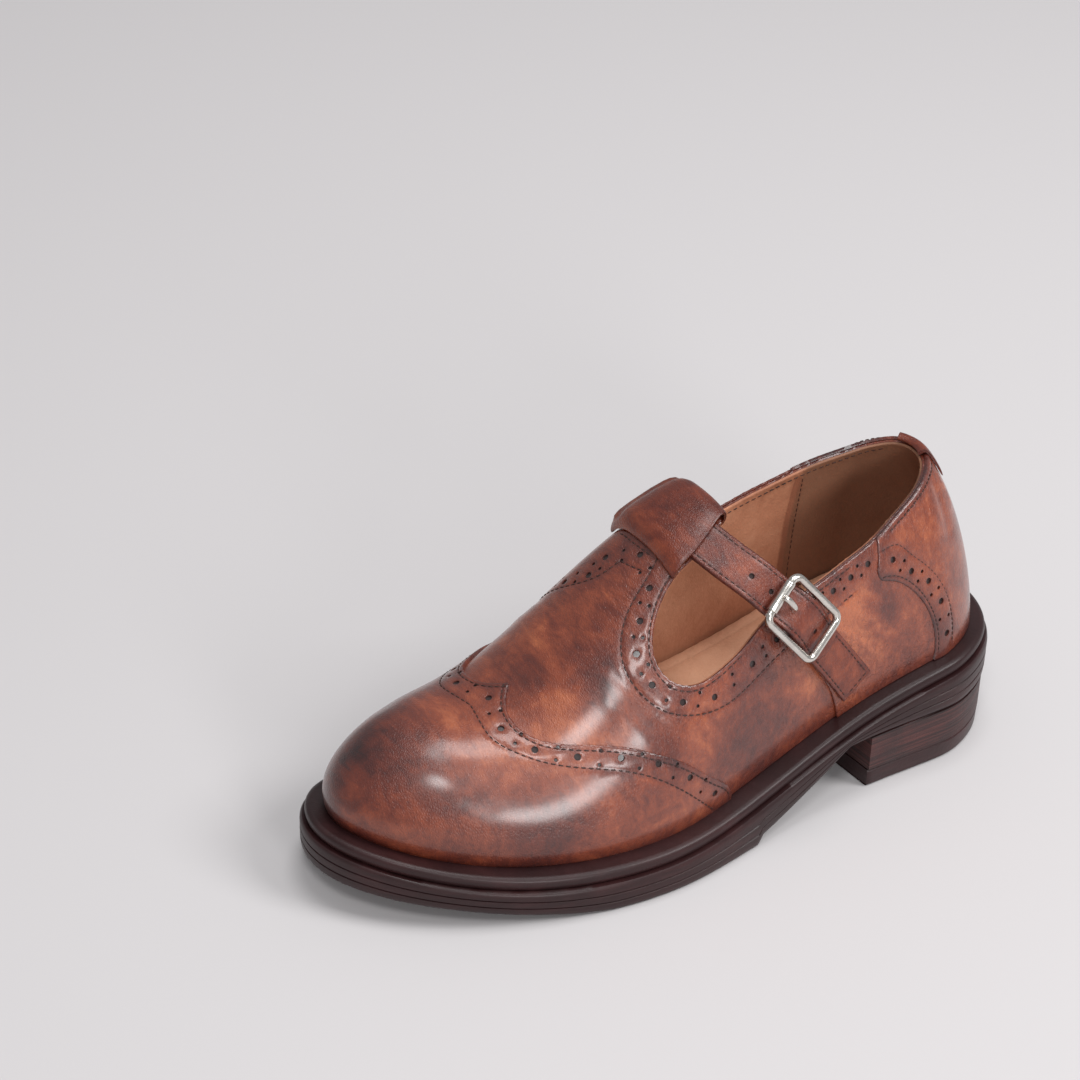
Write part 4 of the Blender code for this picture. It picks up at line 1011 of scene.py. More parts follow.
def quarterFront(inner):
    centre, scale = quarterFlip
    rows = [(-(p - centre) * scale, q) if inner else (p, q) for p, q in quarterEdge]
    return drawn(rows + [foot(size["quarterFoot"], inner)], 1.0)


def wingHalf(inner):
    return drawn((flip(wingEdge) if inner else wingEdge) + [foot(size["wingFoot"], inner)], 1.0)


def rimPath(inner):
    throat, topline = (throatInner, toplineInner) if inner else (throatOuter, toplineOuter)
    return drawn(list(throat) + heightLine(topline, inner), 1.0)


def basePath(start, end):
    return upWall(np.linspace(start, end, max(2, int(abs(end - start)))), 0.0)


def joined(*paths):
    return np.vstack([paths[0]] + [path[1:] for path in paths[1:]])[:-1]


def cutRim(inner, ahead):
    rim = rimPath(inner)
    return rim, int(np.argmin(np.linalg.norm(rim - ahead, axis=1)))


def seamLine(inner):
    heights = np.linspace(0, toplineOuter[-1][1], 60)
    return upWall(np.full(60, lastT if inner else 0.0), heights)


def quarterLoop(inner):
    front, back = quarterFront(inner), counterFront(inner, -quarterTuck)
    rim, start = cutRim(inner, front[0])
    end = cutRim(inner, back[0])[1]
    low = basePath(sideT(counterFoot - quarterTuck, inner), sideT(size["quarterFoot"], inner))
    return joined(rim[start : end + 1], back[1:], low, front[::-1][:-1])


def counterLoop(inner):
    front = counterFront(inner)
    rim, start = cutRim(inner, front[0])
    low = basePath(sideT(counterFoot, inner), lastT if inner else 0.0)
    return joined(front[1:], low, seamLine(inner), rim[start:][::-1])


barMiddle = ((throatInner[0][0] + throatOuter[0][0]) / 2, throatInner[0][1] + 0.4)
barEnd = drawn([throatInner[0], barMiddle, throatOuter[0]], 1.0)
upperLoop = joined(
    basePath(0, lastT),
    seamLine(True),
    rimPath(True)[::-1],
    barEnd,
    rimPath(False),
    seamLine(False)[::-1],
)
wingBase = basePath(size["wingFoot"], around - size["wingFoot"])
wingLoop = joined(wingHalf(True)[::-1], wingHalf(False), wingBase)


def insetLine(path, inset):
    path = drawn(path, 1.0)
    return (path + leftOf(np.gradient(path, axis=0)) * inset)[::4]


# Perforations: one large hole on the band, then a pair of small ones across it, as (across, along, radius)
perforation = {"large": 1.15, "small": 0.62, "half pair": 1.9}


def bandHoles(bigs):
    holes = [(p, q, perforation["large"]) for p, q in bigs]
    for (p0, q0), (p1, q1) in zip(bigs, bigs[1:]):
        middle, way = np.array([p0 + p1, q0 + q1]) / 2, np.array([p1 - p0, q1 - q0])
        side = np.array([-way[1], way[0]]) / np.hypot(*way) * perforation["half pair"]
        holes += [(*(middle + side), perforation["small"]), (*(middle - side), perforation["small"])]
    return holes


# Wing cap: its row of holes, its seam on the inside of them, and a seam along each edge
wingBigs = [
    (5.2, 23.9), (18.4, 20.2), (30.4, 26.1), (40.8, 38.1), (51.9, 53.1), (64.8, 67.6), (80.2, 81.2),
    (96.5, 94.2),
]
wingHoles = bandHoles(wingBigs) + flip(bandHoles(wingBigs))[1:]
wingStitch = [
    (4.5, 17.4), (11.3, 16.1), (20.4, 15.7), (27.7, 19.8), (35.5, 27.1), (49.2, 44.4), (62.1, 59.5),
    (81.1, 76.7), (104.4, 95.0),
]
edgeInset = 1.5
wingSeams = [wingStitch, flip(wingStitch)]
for inner in (False, True):
    wingSeams.append(insetLine(wingHalf(inner), edgeInset if inner else -edgeInset))

# Throat: a band round both openings that joins in front of the loop
throatBigs = [
    (6.9, 92.8), (18.7, 88.0), (24.4, 79.2), (31.3, 72.7), (43.0, 73.7), (56.5, 84.1), (64.6, 98.3),
    (63.8, 116.6), (60.5, 128.2),
]
throatFlip = (2.3, 0.80)
throatInnerBigs = [(6.9, 92.8), (-3.3, 84.7), (-3.6, 76.6), (-11.6, 71.2)]
throatInnerBigs += flip(throatBigs[3:], *throatFlip)
throatHoles = bandHoles(throatBigs) + bandHoles(throatInnerBigs)[1:]
outerRow = [
    (12.6, 96.5), (15.6, 89.0), (19.3, 76.7), (29.1, 67.1), (43.4, 69.1), (61.7, 85.1), (70.7, 106.3),
    (67.4, 124.0), (64.0, 134.5),
]
innerRow = [(2.7, 86.8), (0.4, 79.0), (-6.2, 71.2), (-17.5, 66.6)]
innerRow += flip(outerRow[4:], *throatFlip)
throatSeams = [outerRow, innerRow, [(2.7, 86.8), (8.5, 88.2), (14.6, 90.8)]]
rimInset = 1.6
throatSeams.append(insetLine(throatOuter[1:-1], -rimInset))
throatSeams.append(insetLine(throatInner[1:-1], rimInset))
throatSeams.append([(-7.2, 94.6), (2.3, 94.3), (12.2, 95.3)])
print("pattern laid out")

# Stains and rubbed places, partly painted shade and painted highlight: across, along, radius, strength (light
# where negative)
shoeStainsAndPaintedLight = [
    (4.6, -30.0, 26.0, 0.55), (44.0, -6.0, 13.0, 0.28), (53.0, 14.0, 13.0, 0.30), (66.0, 36.0, 11.0, 0.18),
    (-30.0, -8.0, 22.0, 0.35), (4.0, 33.0, 9.0, 0.35), (1.5, 92.0, 16.0, 0.45), (28.0, 57.0, 12.0, 0.40),
    (5.5, 45.0, 10.0, 0.15), (90.0, 110.0, 16.0, 0.30), (76.0, 62.0, 14.0, 0.22), (60.0, 22.0, 16.0, 0.25),
    (27.0, -7.0, 12.0, 0.32), (31.0, 24.0, 9.0, -0.12), (20.0, 62.0, 9.0, -0.15), (38.0, 48.0, 10.0, -0.22),
    (60.0, 100.0, 14.0, -0.10), (62.0, 176.0, 9.0, 0.30), (68.0, 160.0, 14.0, -0.20),
]
# Creases as soft troughs and, where negative, ridges: from and to on the pattern, depth, width
vampCreases = [
    (-30, 66, 10, 58, 0.35, 2.2), (-34, 58, 2, 50, -0.25, 2.4), (30, 62, 66, 78, 0.30, 2.0),
    (34, 55, 70, 72, -0.22, 2.2), (64, 92, 84, 104, 0.35, 2.2), (70, 86, 92, 98, 0.30, 2.0),
    (-46, 92, -74, 104, 0.35, 2.4),
]
quarterCreases = [
    (58, 148, 76, 171, 0.45, 1.3), (61, 143, 82, 168, 0.40, 1.2), (55, 152, 68, 174, -0.30, 1.3),
    (66, 141, 88, 163, 0.40, 1.4), (72, 141, 92, 158, -0.25, 1.4), (53, 160, 61, 176, 0.35, 1.1),
    (60, 165, 74, 178, 0.35, 1.2),
]
counterCreases = [
    (28.0, 199.0, 38.0, 198.0, 0.55, 2.2), (23.0, 210.0, 45.0, 208.0, 0.50, 2.8),
    (22.5, 218.0, 36.0, 218.0, -0.40, 2.4), (30.0, 190.0, 40.0, 196.0, 0.30, 1.8),
]

# The upper and what is sewn on it
def vampWorn(flat):
    return 0.2 + 0.5 * smooth((flat[:, 1] - 40) / 60)


def overlay(node, loops, high, holes, seams, dents, **more):
    sheet(node + "_skin", loops, onLast, 0.03, high, upperLeather, [node], holes, seams, dents,
          stains=shoeStainsAndPaintedLight, **more)


sheet("upper_skin", [upperLoop], onLast, -0.95, 0.0, upperLeather, ["upper"], throatHoles, throatSeams,
      vampCreases, stains=shoeStainsAndPaintedLight, worn=vampWorn)
sewn(throatSeams, onLast, -0.12)
wingCreases = [(8, -6, 40, 6, 0.25, 4.0), (-40, 2, -10, -4, 0.2, 4.0)]
overlay("wing_cap", [wingLoop], 1.25, wingHoles, wingSeams, wingCreases, worn=0.12, rub=0.35)
sewn(wingSeams, onLast, 1.13)
print("vamp and wing cap done")

# Quarters: two rows of stitches under the topline, with a row of holes between them
quarterBand = {"from": 76, "to": 116, "high": 2.1, "low": 9.6, "holes": 5.9, "bigs": 5}
quarterSpots = [(77, 56.0), (85, 55.6), (93, 55.4), (101, 55.3), (109, 55.4)]
for inner in (False, True):
    topline = toplineInner if inner else toplineOuter
    topRow = [(t, h) for t, h in topline if quarterBand["from"] < t < quarterBand["to"]]
    highRow = [(t, h - quarterBand["high"]) for t, h in topRow]
    lowRow = [(t, h - quarterBand["low"]) for t, h in highRow]
    quarterSeams = [heightLine(highRow, inner), heightLine(lowRow, inner)]
    holeLine = heightLine([(t, h - quarterBand["holes"]) for t, h in quarterSpots], inner)
    quarterHoles = bandHoles([tuple(spot) for spot in drawn(holeLine, count=quarterBand["bigs"])])
    node, dents = ("quarter_inner", ()) if inner else ("quarter_outer", quarterCreases)
    overlay(node, [quarterLoop(inner)], 1.05, quarterHoles, quarterSeams, dents, worn=0.95, rub=0.5, pale=0.9)
    sewn(quarterSeams, onLast, 0.94)
print("quarters done")

# Counter: seams beside its front edge, along its band and under the topline, as (round the sole, height)
rearArc = [(64.0, 50.4), (59.2, 45.6), (49.7, 34.8), (43.7, 23.3), (41.3, 12.1), (41.3, 2.5)]
topRun = [(71.0, 51.5), (67.2, 51.3)]
frontArc = [(71.8, 42.6), (68.0, 41.4), (62.4, 37.6), (54.2, 27.6), (49.2, 16.0), (47.8, 6.1), (47.9, 2.0)]
topSeam = [(66.0, 55.9), (50.0, 59.6), (35.4, 62.4), (19.0, 63.8)]
bandSpots = [(66.6, 46.4), (59.0, 38.6), (51.6, 31.6), (46.6, 21.8), (44.3, 8.4)]
counterSeams, counterHoles = [], []
for inner in (False, True):
    counterSeams += [heightLine(rows, inner) for rows in (topRun + rearArc, frontArc, topSeam)]
    counterHoles += bandHoles(heightLine(bandSpots, inner))
# The counter stands a little prouder along its front band
proud = {"from": 41, "soft": 3.0, "high": 54, "slope": 0.2, "fade": 4.0, "lift": 0.22}


def bandSwell(flat):
    t, far = ribsOf(flat)
    ahead = np.minimum(t, around - t) - proud["from"]
    below = proud["high"] - (ribLength(t) - far) + ahead * proud["slope"]
    return proud["lift"] * (smooth(ahead / proud["soft"]) * smooth(below / proud["fade"]))


counterLoops = [counterLoop(False), counterLoop(True)]
overlay("heel_counter", counterLoops, 1.62, counterHoles, counterSeams, counterCreases, worn=0.6, roll=0.8,
        edge=0.6, swell=bandSwell)
sewn(counterSeams, onLast, 1.53, long=1.4, pitch=1.95, thick=0.26)

# Lining: the inner wall, tan in front and a dark heel grip behind a vertical seam
gripSeam = [(70.0, 56.0), (69.2, 48.0), (68.6, 36.0), (68.2, 22.0), (68.2, 8.0)]


def gripShare(flat):
    t = ribsOf(flat)[0]
    return smooth((69.4 - np.minimum(t, around - t)) / 1.2)


liningSeams = [heightLine(gripSeam, inner) for inner in (False, True)]
liningCreases = [
    (30, 170, 60, 176, 0.5, 5.0), (-60, 172, -30, 168, 0.5, 5.0), (-70, 120, -40, 128, 0.45, 5.0),
]
liningMarksAndPaintedLight = []
for inner in (False, True):
    liningMarksAndPaintedLight += [(*upWall(sideT(t, inner), h), 1.5, 0.9) for t, h in drawn(gripSeam, 1.2)]
# Painted light: a broad lighter patch on each side wall of the lining
liningMarksAndPaintedLight += [(*upWall(sideT(122, inner), 24), 26.0, -0.5) for inner in (False, True)]
sheet("lining_skin", [upperLoop], onLast, -1.08, -2.0, liningLeather, (), (), liningSeams, liningCreases,
      grip=gripShare, slot="lining", spacing=2.1, roll=0.4, stains=liningMarksAndPaintedLight)
for inner in (False, True):
    rim = toplineInner if inner else toplineOuter
    sewn([heightLine([(t, h - 2.4) for t, h in rim if 14 < t < 118], inner)], onLast, -2.02)
    sewn([heightLine([(t - 1.8, h) for t, h in gripSeam], inner)], onLast, -2.02, thick=0.18)

# Insole: a sock with soft wrinkles
insoleFloor = size["gap"] + 0.15
insoleRing = (ringBase - ringOut * (size["wall"] + 0.75))[::2]


def onInsole(flat, lift):
    flat = np.asarray(flat, float)
    return np.column_stack([flat, topZ(flat) + insoleFloor + np.asarray(lift, float).reshape(-1)])


insoleWrinkles = [
    (-20, 10, 26, -4, 0.35, 2.4), (-24, 0, 22, -16, -0.30, 2.8), (-26, -14, 24, -30, 0.35, 3.0),
    (-18, 22, 24, 12, 0.30, 2.6), (-28, -30, 20, -44, -0.3, 3.0), (-22, -48, 14, -40, 0.35, 3.2),
    (-10, 60, 20, 50, 0.25, 3.0), (-16, 40, 22, 34, -0.25, 3.0),
]
insoleSeam = [tuple(spot) for spot in (ringBase - ringOut * 7.5)[::14]]
sheet("insole_sock", [insoleRing], onInsole, 0.0, size["insoleThick"], insoleLeather, ["insole"], (),
      [insoleSeam], insoleWrinkles, onShoe=False, slot="lining", spacing=2.2, roll=0.7)
print("inside done")


# Straps: a place along the strap, across it and out from it
def strapPlace(line):
    rows = drawn(line, 0.7)
    here = onLast(rows[:, :2], rows[:, 2])
    up = onLast(rows[:, :2], rows[:, 2] + 1.0) - here
    along = unit(np.gradient(here, axis=0))
    up = unit(up - along * (up * along).sum(1)[:, None])
    across = np.cross(along, up)
    far = lengths(here)

    def place(flat, lift):
        flat = np.asarray(flat, float)
        spot, side, out = (pathAt(flat[:, 0], far, part) for part in (here, across, up))
        return spot + side * flat[:, 1:2] + out * np.asarray(lift, float).reshape(-1, 1)

    return place, far[-1]


def strapPiece(node, outline, place, thick, holes, seams, **more):
    sheet(node + "_skin", [outline], place, 0.0, thick, strapLeather, [node], holes, seams, onShoe=False,
          slot="strap_leather", spacing=1.2, **more)
    sewn(seams, place, thick - 0.12, pitch=2.3, long=1.5, thick=0.23)


onStrap, strapLong = strapPlace(strapLine)
half, tip = size["strapWide"] / 2, 5.0
strapOutline = [(0, -half), (strapLong - tip, -half)]
for angle in np.radians(np.linspace(-80, 80, 9)):
    strapOutline.append((strapLong - tip + tip * np.cos(angle), half * np.sin(angle)))
strapOutline = np.array(strapOutline + [(strapLong - tip, half), (0, half)])
seamPlaces = (1.5, strapLong / 2, strapLong - 5.5)
strapSeams = [[(place, side * (half - 1.6)) for place in seamPlaces] for side in (-1, 1)]
# The pin holes lie where the photo shows them, found as the nearest places of the middle line
places = np.linspace(0, strapLong, 900)
middleLine = onStrap(np.column_stack([places, 0 * places]), np.zeros(900))
strapHoles = []
for spot in ((35.8, 121.0), (42.8, 125.7), (58.3, 139.2)):
    nearby = np.argmin(np.linalg.norm(middleLine - onLast([spot], 3.0)[0], axis=1))
    strapHoles.append((places[nearby], 0.0, 0.95))
strapPiece("strap", strapOutline, onStrap, size["strapThick"], strapHoles, strapSeams, roll=0.9, rub=0.7,
           worn=0.3)

onTab, tabLong = strapPlace(tabLine)
half = size["tabWide"] / 2
start, end, low = tabLong * 0.42, tabLong - 1.5, half - 1.5
tabSeams = [[(start, -low), (end, -low)], [(start, low), (end, low)], [(end, -low), (end, low)]]
tabOutline = np.array([(0, -half), (tabLong, -half), (tabLong, half), (0, half)])
strapPiece("buckle_tab", tabOutline, onTab, size["tabThick"], (), tabSeams, roll=0.7, worn=0.4)
print("straps done")


# Pieces made of rings of points
def softened(ring, times=2):
    ring = np.asarray(ring, float)
    for _ in range(times):
        further = np.roll(ring, -1, axis=0)
        ring = np.stack([ring * 0.75 + further * 0.25, ring * 0.25 + further * 0.75], 1).reshape(-1, 2)
    return ring


def tubeFaces(count, rings, closed=False):
    i = np.arange(count)
    j = (i + 1) % count
    faces = []
    for row in range(rings if closed else rings - 1):
        low, top = row * count, (row + 1) % rings * count
        faces += [np.column_stack([low + i, low + j, top + j]), np.column_stack([low + i, top + j, top + i])]
    return faces


def closedPiece(name, rings, nodes, angle):
    points, faces = np.vstack(rings), np.vstack(tubeFaces(len(rings[0]), len(rings), True))
    finished(name, points, outsideOut(points, faces), nickel, nodes, angle)


def sweptPiece(name, rings, look, nodes, angle=50):
    points, count = np.vstack(rings), len(rings[0])
    ring = rings[0] - rings[0].mean(0)
    flat = ring @ np.linalg.svd(ring, full_matrices=False)[2][:2].T
    cap = filled(flat, ringEdges(count), flat)[1]
    up = turnsLeft(flat, cap)
    cap = np.where((up == (areaOf(flat) > 0))[:, None], cap[:, ::-1], cap)
    faces = np.vstack([*tubeFaces(count, len(rings)), cap, cap[:, ::-1] + (len(rings) - 1) * count])
    part = np.repeat(np.linspace(0, 1, len(rings)), count)
    # Darker at both ends of the piece: painted shade where the ends meet the shoe
    darkeningAndShade = 0.25 * np.exp(-part / 0.03) + 0.25 * np.exp(-(1 - part) / 0.03)
    marks = {"darkeningAndShade": darkeningAndShade, "rub": 0 * darkeningAndShade, "worn": 0 * darkeningAndShade + 0.4, "holeShade": 0 * darkeningAndShade, "grip": 0 * darkeningAndShade}
    finished(name, points, outsideOut(points, faces), look, nodes, angle, marks)


# Each end of the loop tucks in, and a bead runs along its inner end
loopEnd = {"tuck": 0.35, "tuckWide": 0.02, "bead": 0.8, "beadAt": 0.05, "beadWide": 0.028}
loopEnd.update({"groove": 0.35, "grooveAt": 0.125, "grooveWide": 0.02, "topOver": 3.3})


def loopRing(u):
    places, innerSide, outerSide = np.transpose(loopSides)
    ring = softened(loopSection, 1)
    low, high = np.interp(ring[:, 0], places, innerSide), np.interp(ring[:, 0], places, outerSide)
    tuck = loopEnd["tuck"] * (np.exp(-u / loopEnd["tuckWide"]) + np.exp(-(1 - u) / loopEnd["tuckWide"]))
    middle = ring.mean(0)
    flatRing = [low + (high - low) * u, middle[0] + (ring[:, 0] - middle[0]) * (1 - tuck * 0.03)]
    bead = loopEnd["bead"] * bell((u - loopEnd["beadAt"]) / loopEnd["beadWide"])
    bead -= loopEnd["groove"] * bell((u - loopEnd["grooveAt"]) / loopEnd["grooveWide"])
    return onLast(np.column_stack(flatRing), ring[:, 1] + (bead - tuck) * (ring[:, 1] > loopEnd["topOver"]))


def collarRing(t):
    section = softened(collarSection)
    t = np.full(len(section), np.mod(t, around))
    here, normal = placeAndNormal(t, ribLength(t) - toplineOuter[-1][1] - section[:, 0])
    return here + normal * facing * section[:, 1:2]


loopRings = [loopRing(u) for u in np.linspace(0, 1, 61)]
sweptPiece("strap_loop_skin", loopRings, loopLeather, ["strap_loop"])
collarRings = [collarRing(t) for t in np.linspace(-collarTabHalf, collarTabHalf, 49)]
sweptPiece("collar_tab_skin", collarRings, strapLeather, ["collar_tab"])
print("loop and collar tab done")


# Buckle: a wire frame with a centre bar, a roller and a prong
def wireRings(path, radii, closed=False, sides=18):
    path = np.array(path, float)
    way = unit(np.roll(path, -1, 0) - np.roll(path, 1, 0) if closed else np.gradient(path, axis=0))
    side = np.cross(way, buckleUp)
    side[np.linalg.norm(side, axis=1) < 0.2] = buckleAcross
    side = unit(side)
    over = np.cross(side, way)
    angles = np.arange(sides) * 2 * np.pi / sides
    cosines, sines = np.cos(angles)[:, None], np.sin(angles)[:, None]
    radii = np.broadcast_to(radii, len(path))
    return [path[i] + radii[i] * (cosines * side[i] + sines * over[i]) for i in range(len(path))]


halfLong, halfWide = size["frameLong"] / 2 - wire, size["frameWide"] / 2 - wire
frameLift, corner = buckleSpot["frame"], size["frameCorner"]
framePath = []
for number, (a, b) in enumerate(((1, 1), (-1, 1), (-1, -1), (1, -1))):
    centre = np.array([a * (halfLong - corner), b * (halfWide - corner)])
    for angle in np.linspace(number * np.pi / 2, (number + 1) * np.pi / 2, 14):
        along, across = centre + corner * np.array([np.cos(angle), np.sin(angle)])
        framePath.append(bucklePlace(along, across, frameLift))
closedPiece("buckle_frame_wire", wireRings(framePath, wire * 1.12, True), ["buckle_frame"], 60)

drop = frameLift - buckleSpot["bar"]
barHalf = [(halfWide, 0.0), (halfWide - 1.2, drop / 2), (halfWide - 1.9, drop)]
barRows = drawn([(-a, d) for a, d in barHalf] + barHalf[::-1], 0.6)
barLine = [bucklePlace(0.0, a, frameLift - d) for a, d in barRows]
sweptPiece("buckle_bar", wireRings(barLine, size["barWire"] / 2), nickel, (), 60)

rollerHalf = halfWide - corner - 0.4
rollerOut, rollerIn = size["rollerWire"] / 2, wire + 0.3
rollerRows = [
    (-rollerHalf + 0.3, rollerIn), (-rollerHalf, rollerIn + 0.15), (-rollerHalf, rollerOut - 0.25),
    (-rollerHalf + 0.12, rollerOut - 0.07), (-rollerHalf + 0.35, rollerOut),
]
rollerRows += [(-across, radius) for across, radius in rollerRows[::-1]]
angles = np.arange(40) * np.pi / 20
circle = np.cos(angles)[:, None] * buckleAlong + np.sin(angles)[:, None] * buckleUp
rollerRings = [bucklePlace(-halfLong, across, frameLift) + radius * circle for across, radius in rollerRows]
closedPiece("buckle_roller_tube", rollerRings, ["buckle_roller"], 40)

# The prong rises from the bar through the strap and lies over the roller
prong = size["prongWire"] / 2
overRoller = frameLift + rollerOut + 0.3 + prong * 0.85
prongRows = [
    (-3.6, 5.9), (-4.5, 6.9), (-5.4, 8.2), (-6.6, 9.4), (-8.4, overRoller - 0.4), (-10.4, overRoller),
]
prongRows = drawn(prongRows + [(-halfLong - 1.2, overRoller - 0.1)], 0.35)
fromTip = lengths(prongRows)[-1] - lengths(prongRows)
thick = prong * 1.1 * np.sqrt(np.clip(1 - (1 - np.minimum(fromTip / 1.4, 1)) ** 2, 0.06, 1))
prongLine = [bucklePlace(along, 0.0, lift) for along, lift in prongRows]
sweptPiece("buckle_prong_pin", wireRings(prongLine, thick), nickel, ["buckle_prong"], 60)
print("buckle done")


# Sole and heel: rings from the bottom up, closed by a flat or curved face at each end
def ringPiece(name, rings, bottomZ, highZ, look, nodes, angle, spacing=6.0):
    if areaOf(rings[0][:, :2]) < 0:
        rings = [ring[::-1] for ring in rings]
    count = len(rings[0])
    total = count * len(rings)
    points, faces = list(rings), tubeFaces(count, len(rings))
    ends = ((rings[0], 0, bottomZ, True), (rings[-1], total - count, highZ, False))
    for ring, start, height, below in ends:
        ring = ring[:, :2]
        low, high = ring.min(0), ring.max(0)
        columns, rows = np.arange(low[0], high[0], spacing), np.arange(low[1], high[1], spacing)
        grid = np.stack(np.meshgrid(columns, rows), -1).reshape(-1, 2)
        if below:
            # The tread's rear step needs points close before and behind it
            columns = np.arange(low[0], high[0], 2.0)
            for y in (stepY - 0.5, stepY + 0.5):
                grid = grid[np.abs(grid[:, 1] - y) > 0.9]
                grid = np.vstack([grid, np.column_stack([columns, np.full(len(columns), y)])])
        grid = grid[inside(grid, ring)]
        grid = grid[nearest(grid, ring) > 1.0]
        flat = np.vstack([ring, grid])
        cap = filled(flat, ringEdges(count), ring)[1]
        up = turnsLeft(flat, cap)
        points.append(np.column_stack([grid, height(grid)]))
        cap = np.where((up != below)[:, None], cap, cap[:, ::-1])
        faces.append(np.where(cap < count, cap + start, cap - count + total))
        total += len(grid)
    finished(name, np.vstack(points), np.vstack(faces), look, nodes, angle)


def soleRing(out, z):
    xy = ringBase + ringOut * out
    return np.column_stack([xy, z(xy)])


def layerZ(down):
    return lambda xy: topZ(xy) - down


# Profiles of the two sole layers: how far out, and the share of the layer's height
topLayer, groove = size["topLayer"], size["grooveDeep"]
topProfile = [(-0.4, 1.0), (0.15, 0.80), (0.35, 0.50), (0.1, 0.26), (-0.5, 0.10), (-1.2, 0.02), (-2.4, 0.0)]
topRows = drawn(topProfile, count=13)
rings = [soleRing((flange + out)[:, None], layerZ(topLayer * max(down, 0.0))) for out, down in topRows]
ringPiece("midsole_band", rings, layerZ(topLayer), topZ, soleFinish, ["midsole"], 60)
treadAt, shankAt = spline(treadBottom), spline(shankBottom)


def underZ(xy):
    s = share(xy[:, 1])
    rear = np.where(s < size["seatEnd"], size["heelTop"] + size["gap"], shankAt(s))
    return np.where(xy[:, 1] > stepY, rear, np.maximum(treadAt(s), 0))


def deckZ(xy):
    return topZ(xy) - topLayer - size["gap"]


def between(part):
    return lambda xy: underZ(xy) + (deckZ(xy) - underZ(xy)) * part


lowProfile = [(-1.2, 0.0), (-0.6, 0.02), (-0.15, 0.09), (0.0, 0.2)]
for at, swell in ((0.345, 0.05), (0.645, 0.0)):
    lowProfile += [(0.0, at - 0.03), (-0.25, at - 0.015), (-groove, at)]
    lowProfile += [(-0.25, at + 0.015), (0.0, at + 0.03)]
    lowProfile.append((swell, 0.49 if swell else 0.86))
lowProfile += [(-0.2, 0.95), (-0.7, 1.0)]
rings = [soleRing((edge + out)[:, None], between(part)) for out, part in lowProfile]
ringPiece("outsole_tread", rings, underZ, deckZ, soleFinish, ["outsole"], 45)


def heelRing(out, z):
    fineT = np.linspace(-0.5 * around, 0.5 * around, 2401)[:-1]
    way = outward(fineT)
    if (way * (featherAt(fineT) - feather.mean(0))).sum() < 0:
        way = -way
    line = featherAt(fineT) + way * (size["heelFlange"] + size["lowerStepHeel"] + out)
    kept = line[line[:, 1] > size["breastY"] + size["breastTurn"] * (line[:, 0] - 44.0)]
    curve = resampled(kept, 1.2)
    part = np.linspace(0, 1, 41)[1:-1, None]
    front = curve[-1] + (curve[0] - curve[-1]) * part + (0, size["breastHollow"]) * part * (1 - part)
    ring = np.vstack([curve, front])
    return np.column_stack([ring, np.full(len(ring), z)])


def levelZ(z):
    return lambda xy: np.full(len(xy), z)


def heelPiece(name, rows, look, nodes):
    rings = [heelRing(out, z) for out, z in rows]
    count = min(len(ring) for ring in rings)
    for number, ring in enumerate(rings):
        if len(ring) != count:
            even = resampled(ring[:, :2], lengths(ring[:, :2])[-1] / (count - 1))
            rings[number] = np.column_stack([even, np.full(count, ring[0, 2])])
    ringPiece(name, rings, levelZ(rows[0][1]), levelZ(rows[-1][1]), look, nodes, 35, 8.0)


# How far out from the heel's flange, and height
taper, lift, heelTop = size["heelTaper"], size["liftHigh"], size["heelTop"]
blockLow = lift + size["gap"]
blockRows = [
    (-taper - 0.55, blockLow), (-taper - 0.3, blockLow + 0.3), (-0.5, heelTop - 0.4), (-0.8, heelTop),
]
heelPiece("heel_stack", blockRows, heelFinish, ["heel"])
liftRows = [(-1.4, 0.0), (-0.75, 0.5), (-0.6, 0.9), (-0.4, lift - 0.5), (-0.8, lift)]
liftRows = [(-taper + out, z) for out, z in liftRows]
heelPiece("heel_lift_block", liftRows, liftFinish, ["heel_lift"])
print("sole done")

# All stitches as one piece
faces = [stitchFaces(stitch["sides"]) + number * len(points) for number, points in enumerate(stitchPoints)]
finished("stitches", np.vstack(stitchPoints), np.vstack(faces), thread, (), 80)

# Studio: camera, floor, lights
view = {
    "azimuth": 56.0,
    "elevation": 32.0,
    "roll": 1.67,
    "aim": (-96.44, 8.54, 40.0),
    "away": 0.9899,
    "lens": 90.0,
}
azimuth, elevation, rollAngle = np.radians((view["azimuth"], view["elevation"], view["roll"]))
back = Vector((np.sin(azimuth) * np.cos(elevation), -np.cos(azimuth) * np.cos(elevation), np.sin(elevation)))
right = Vector((np.cos(azimuth), np.sin(azimuth), 0.0))
up = back.cross(right)
cosine, sine = np.cos(rollAngle), np.sin(rollAngle)
right, up = right * cosine + up * sine, up * cosine - right * sine
cameraData = bpy.data.cameras.new("camera")
cameraData.lens, cameraData.sensor_width, cameraData.clip_start = view["lens"], 36.0, 0.05
camera = bpy.data.objects.new("camera", cameraData)
bpy.context.scene.collection.objects.link(camera)
aim = Vector((np.array(view["aim"]) + shift) * 0.001)
turn = Matrix((right, up, back)).transposed().to_4x4()
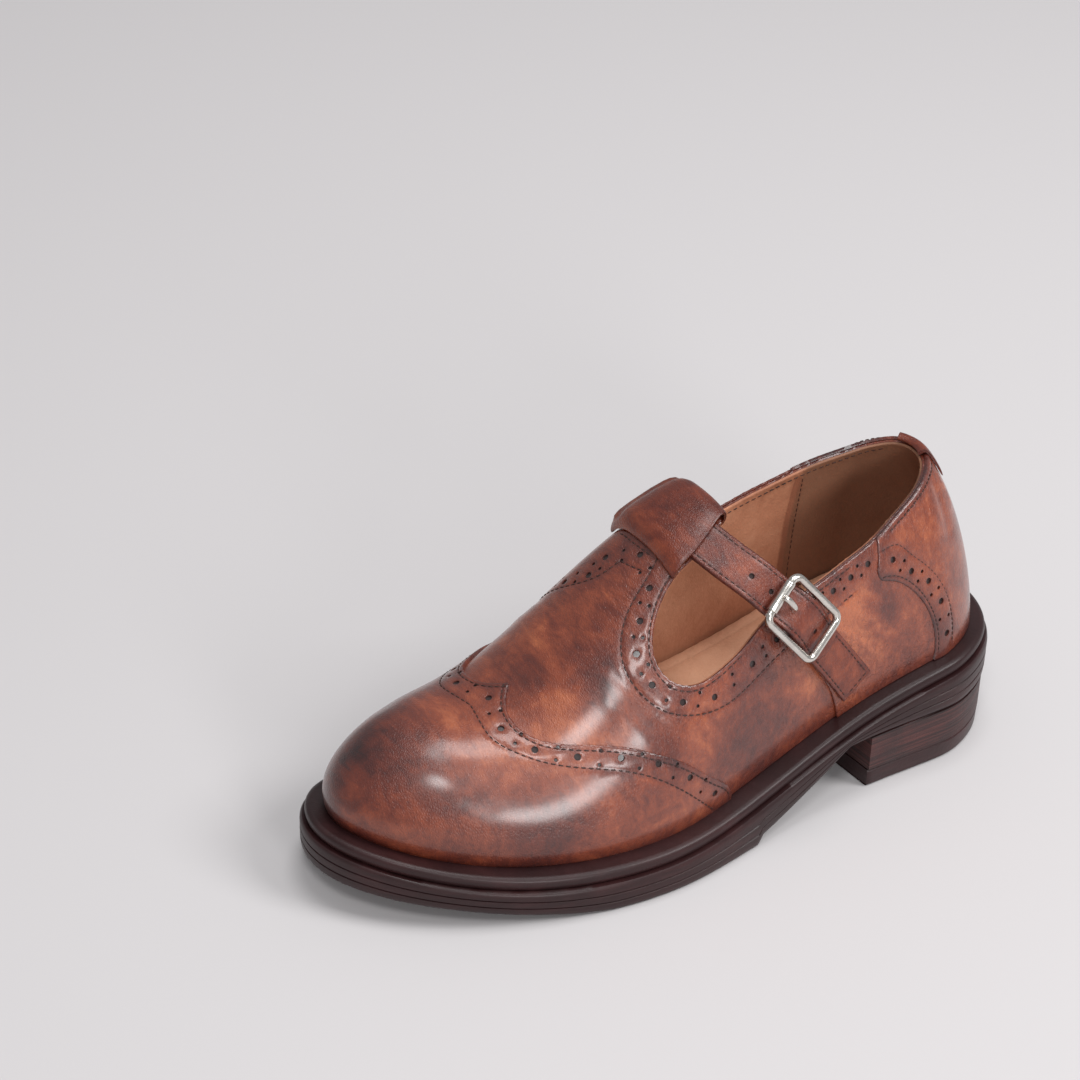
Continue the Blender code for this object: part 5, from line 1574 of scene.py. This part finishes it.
camera.matrix_world = Matrix.Translation(aim + back * view["away"]) @ turn
bpy.context.scene.camera = camera

bpy.ops.mesh.primitive_plane_add(size=8.0, location=(0, 0, -0.0003))
floor = bpy.context.active_object
floor.name = "floor"
floorFinish = Finish("studio paper", Roughness=0.85)
# Painted light: the paper is painted a little lighter away from the camera
away = floorFinish.node("ShaderNodeSeparateXYZ", values={0: floorFinish.place})
sideways = Value(away.tree, away.socket.node.outputs[1])
depth = (away * -back.x + sideways * -back.y) * 0.4 + 0.35
tones = [(0.2, (0.575, 0.556, 0.561)), (0.38, (0.610, 0.590, 0.595)), (0.64, (0.735, 0.710, 0.715))]
floorFinish.feed(Base_Color=floorFinish.ramp(depth.held(), tones))
floor.data.materials.append(floorFinish.material)

# Soft lights: to the right of the camera's view, height, toward the camera, width and power
softboxes = (
    ("key light", 1.15, 1.25, 0.30, 0.7, 14.5),
    ("top light", 0.1, 1.7, -0.1, 0.7, 9.0),
    ("toe window", 0.64, 0.50, 1.40, 0.4, 7.0),
    ("toe glint", 0.36, 0.80, 1.32, 0.4, 1.2),
    ("vamp window", -0.12, 1.34, 0.98, 0.4, 6.5),
)
centre = Vector((0, 0, 0.04))
flatBack = Vector((back.x, back.y, 0)).normalized()
flatRight = Vector((right.x, right.y, 0)).normalized()
for name, across, high, ahead, wide, power in softboxes:
    data = bpy.data.lights.new(name, "AREA")
    data.shape, data.size, data.energy = "DISK", wide, power
    lamp = bpy.data.objects.new(name, data)
    bpy.context.scene.collection.objects.link(lamp)
    spot = centre + flatRight * across + flatBack * ahead + Vector((0, 0, high))
    turn = (spot - centre).to_track_quat("Z", "Y").to_matrix().to_4x4()
    lamp.matrix_world = Matrix.Translation(spot) @ turn
world = bpy.data.worlds.new("world")
world.use_nodes = True
background = world.node_tree.nodes["Background"]
background.inputs[0].default_value = (0.86, 0.86, 0.88, 1)
background.inputs[1].default_value = 0.38
bpy.context.scene.world = world
bpy.context.scene.view_settings.view_transform = "Standard"
print("studio done")
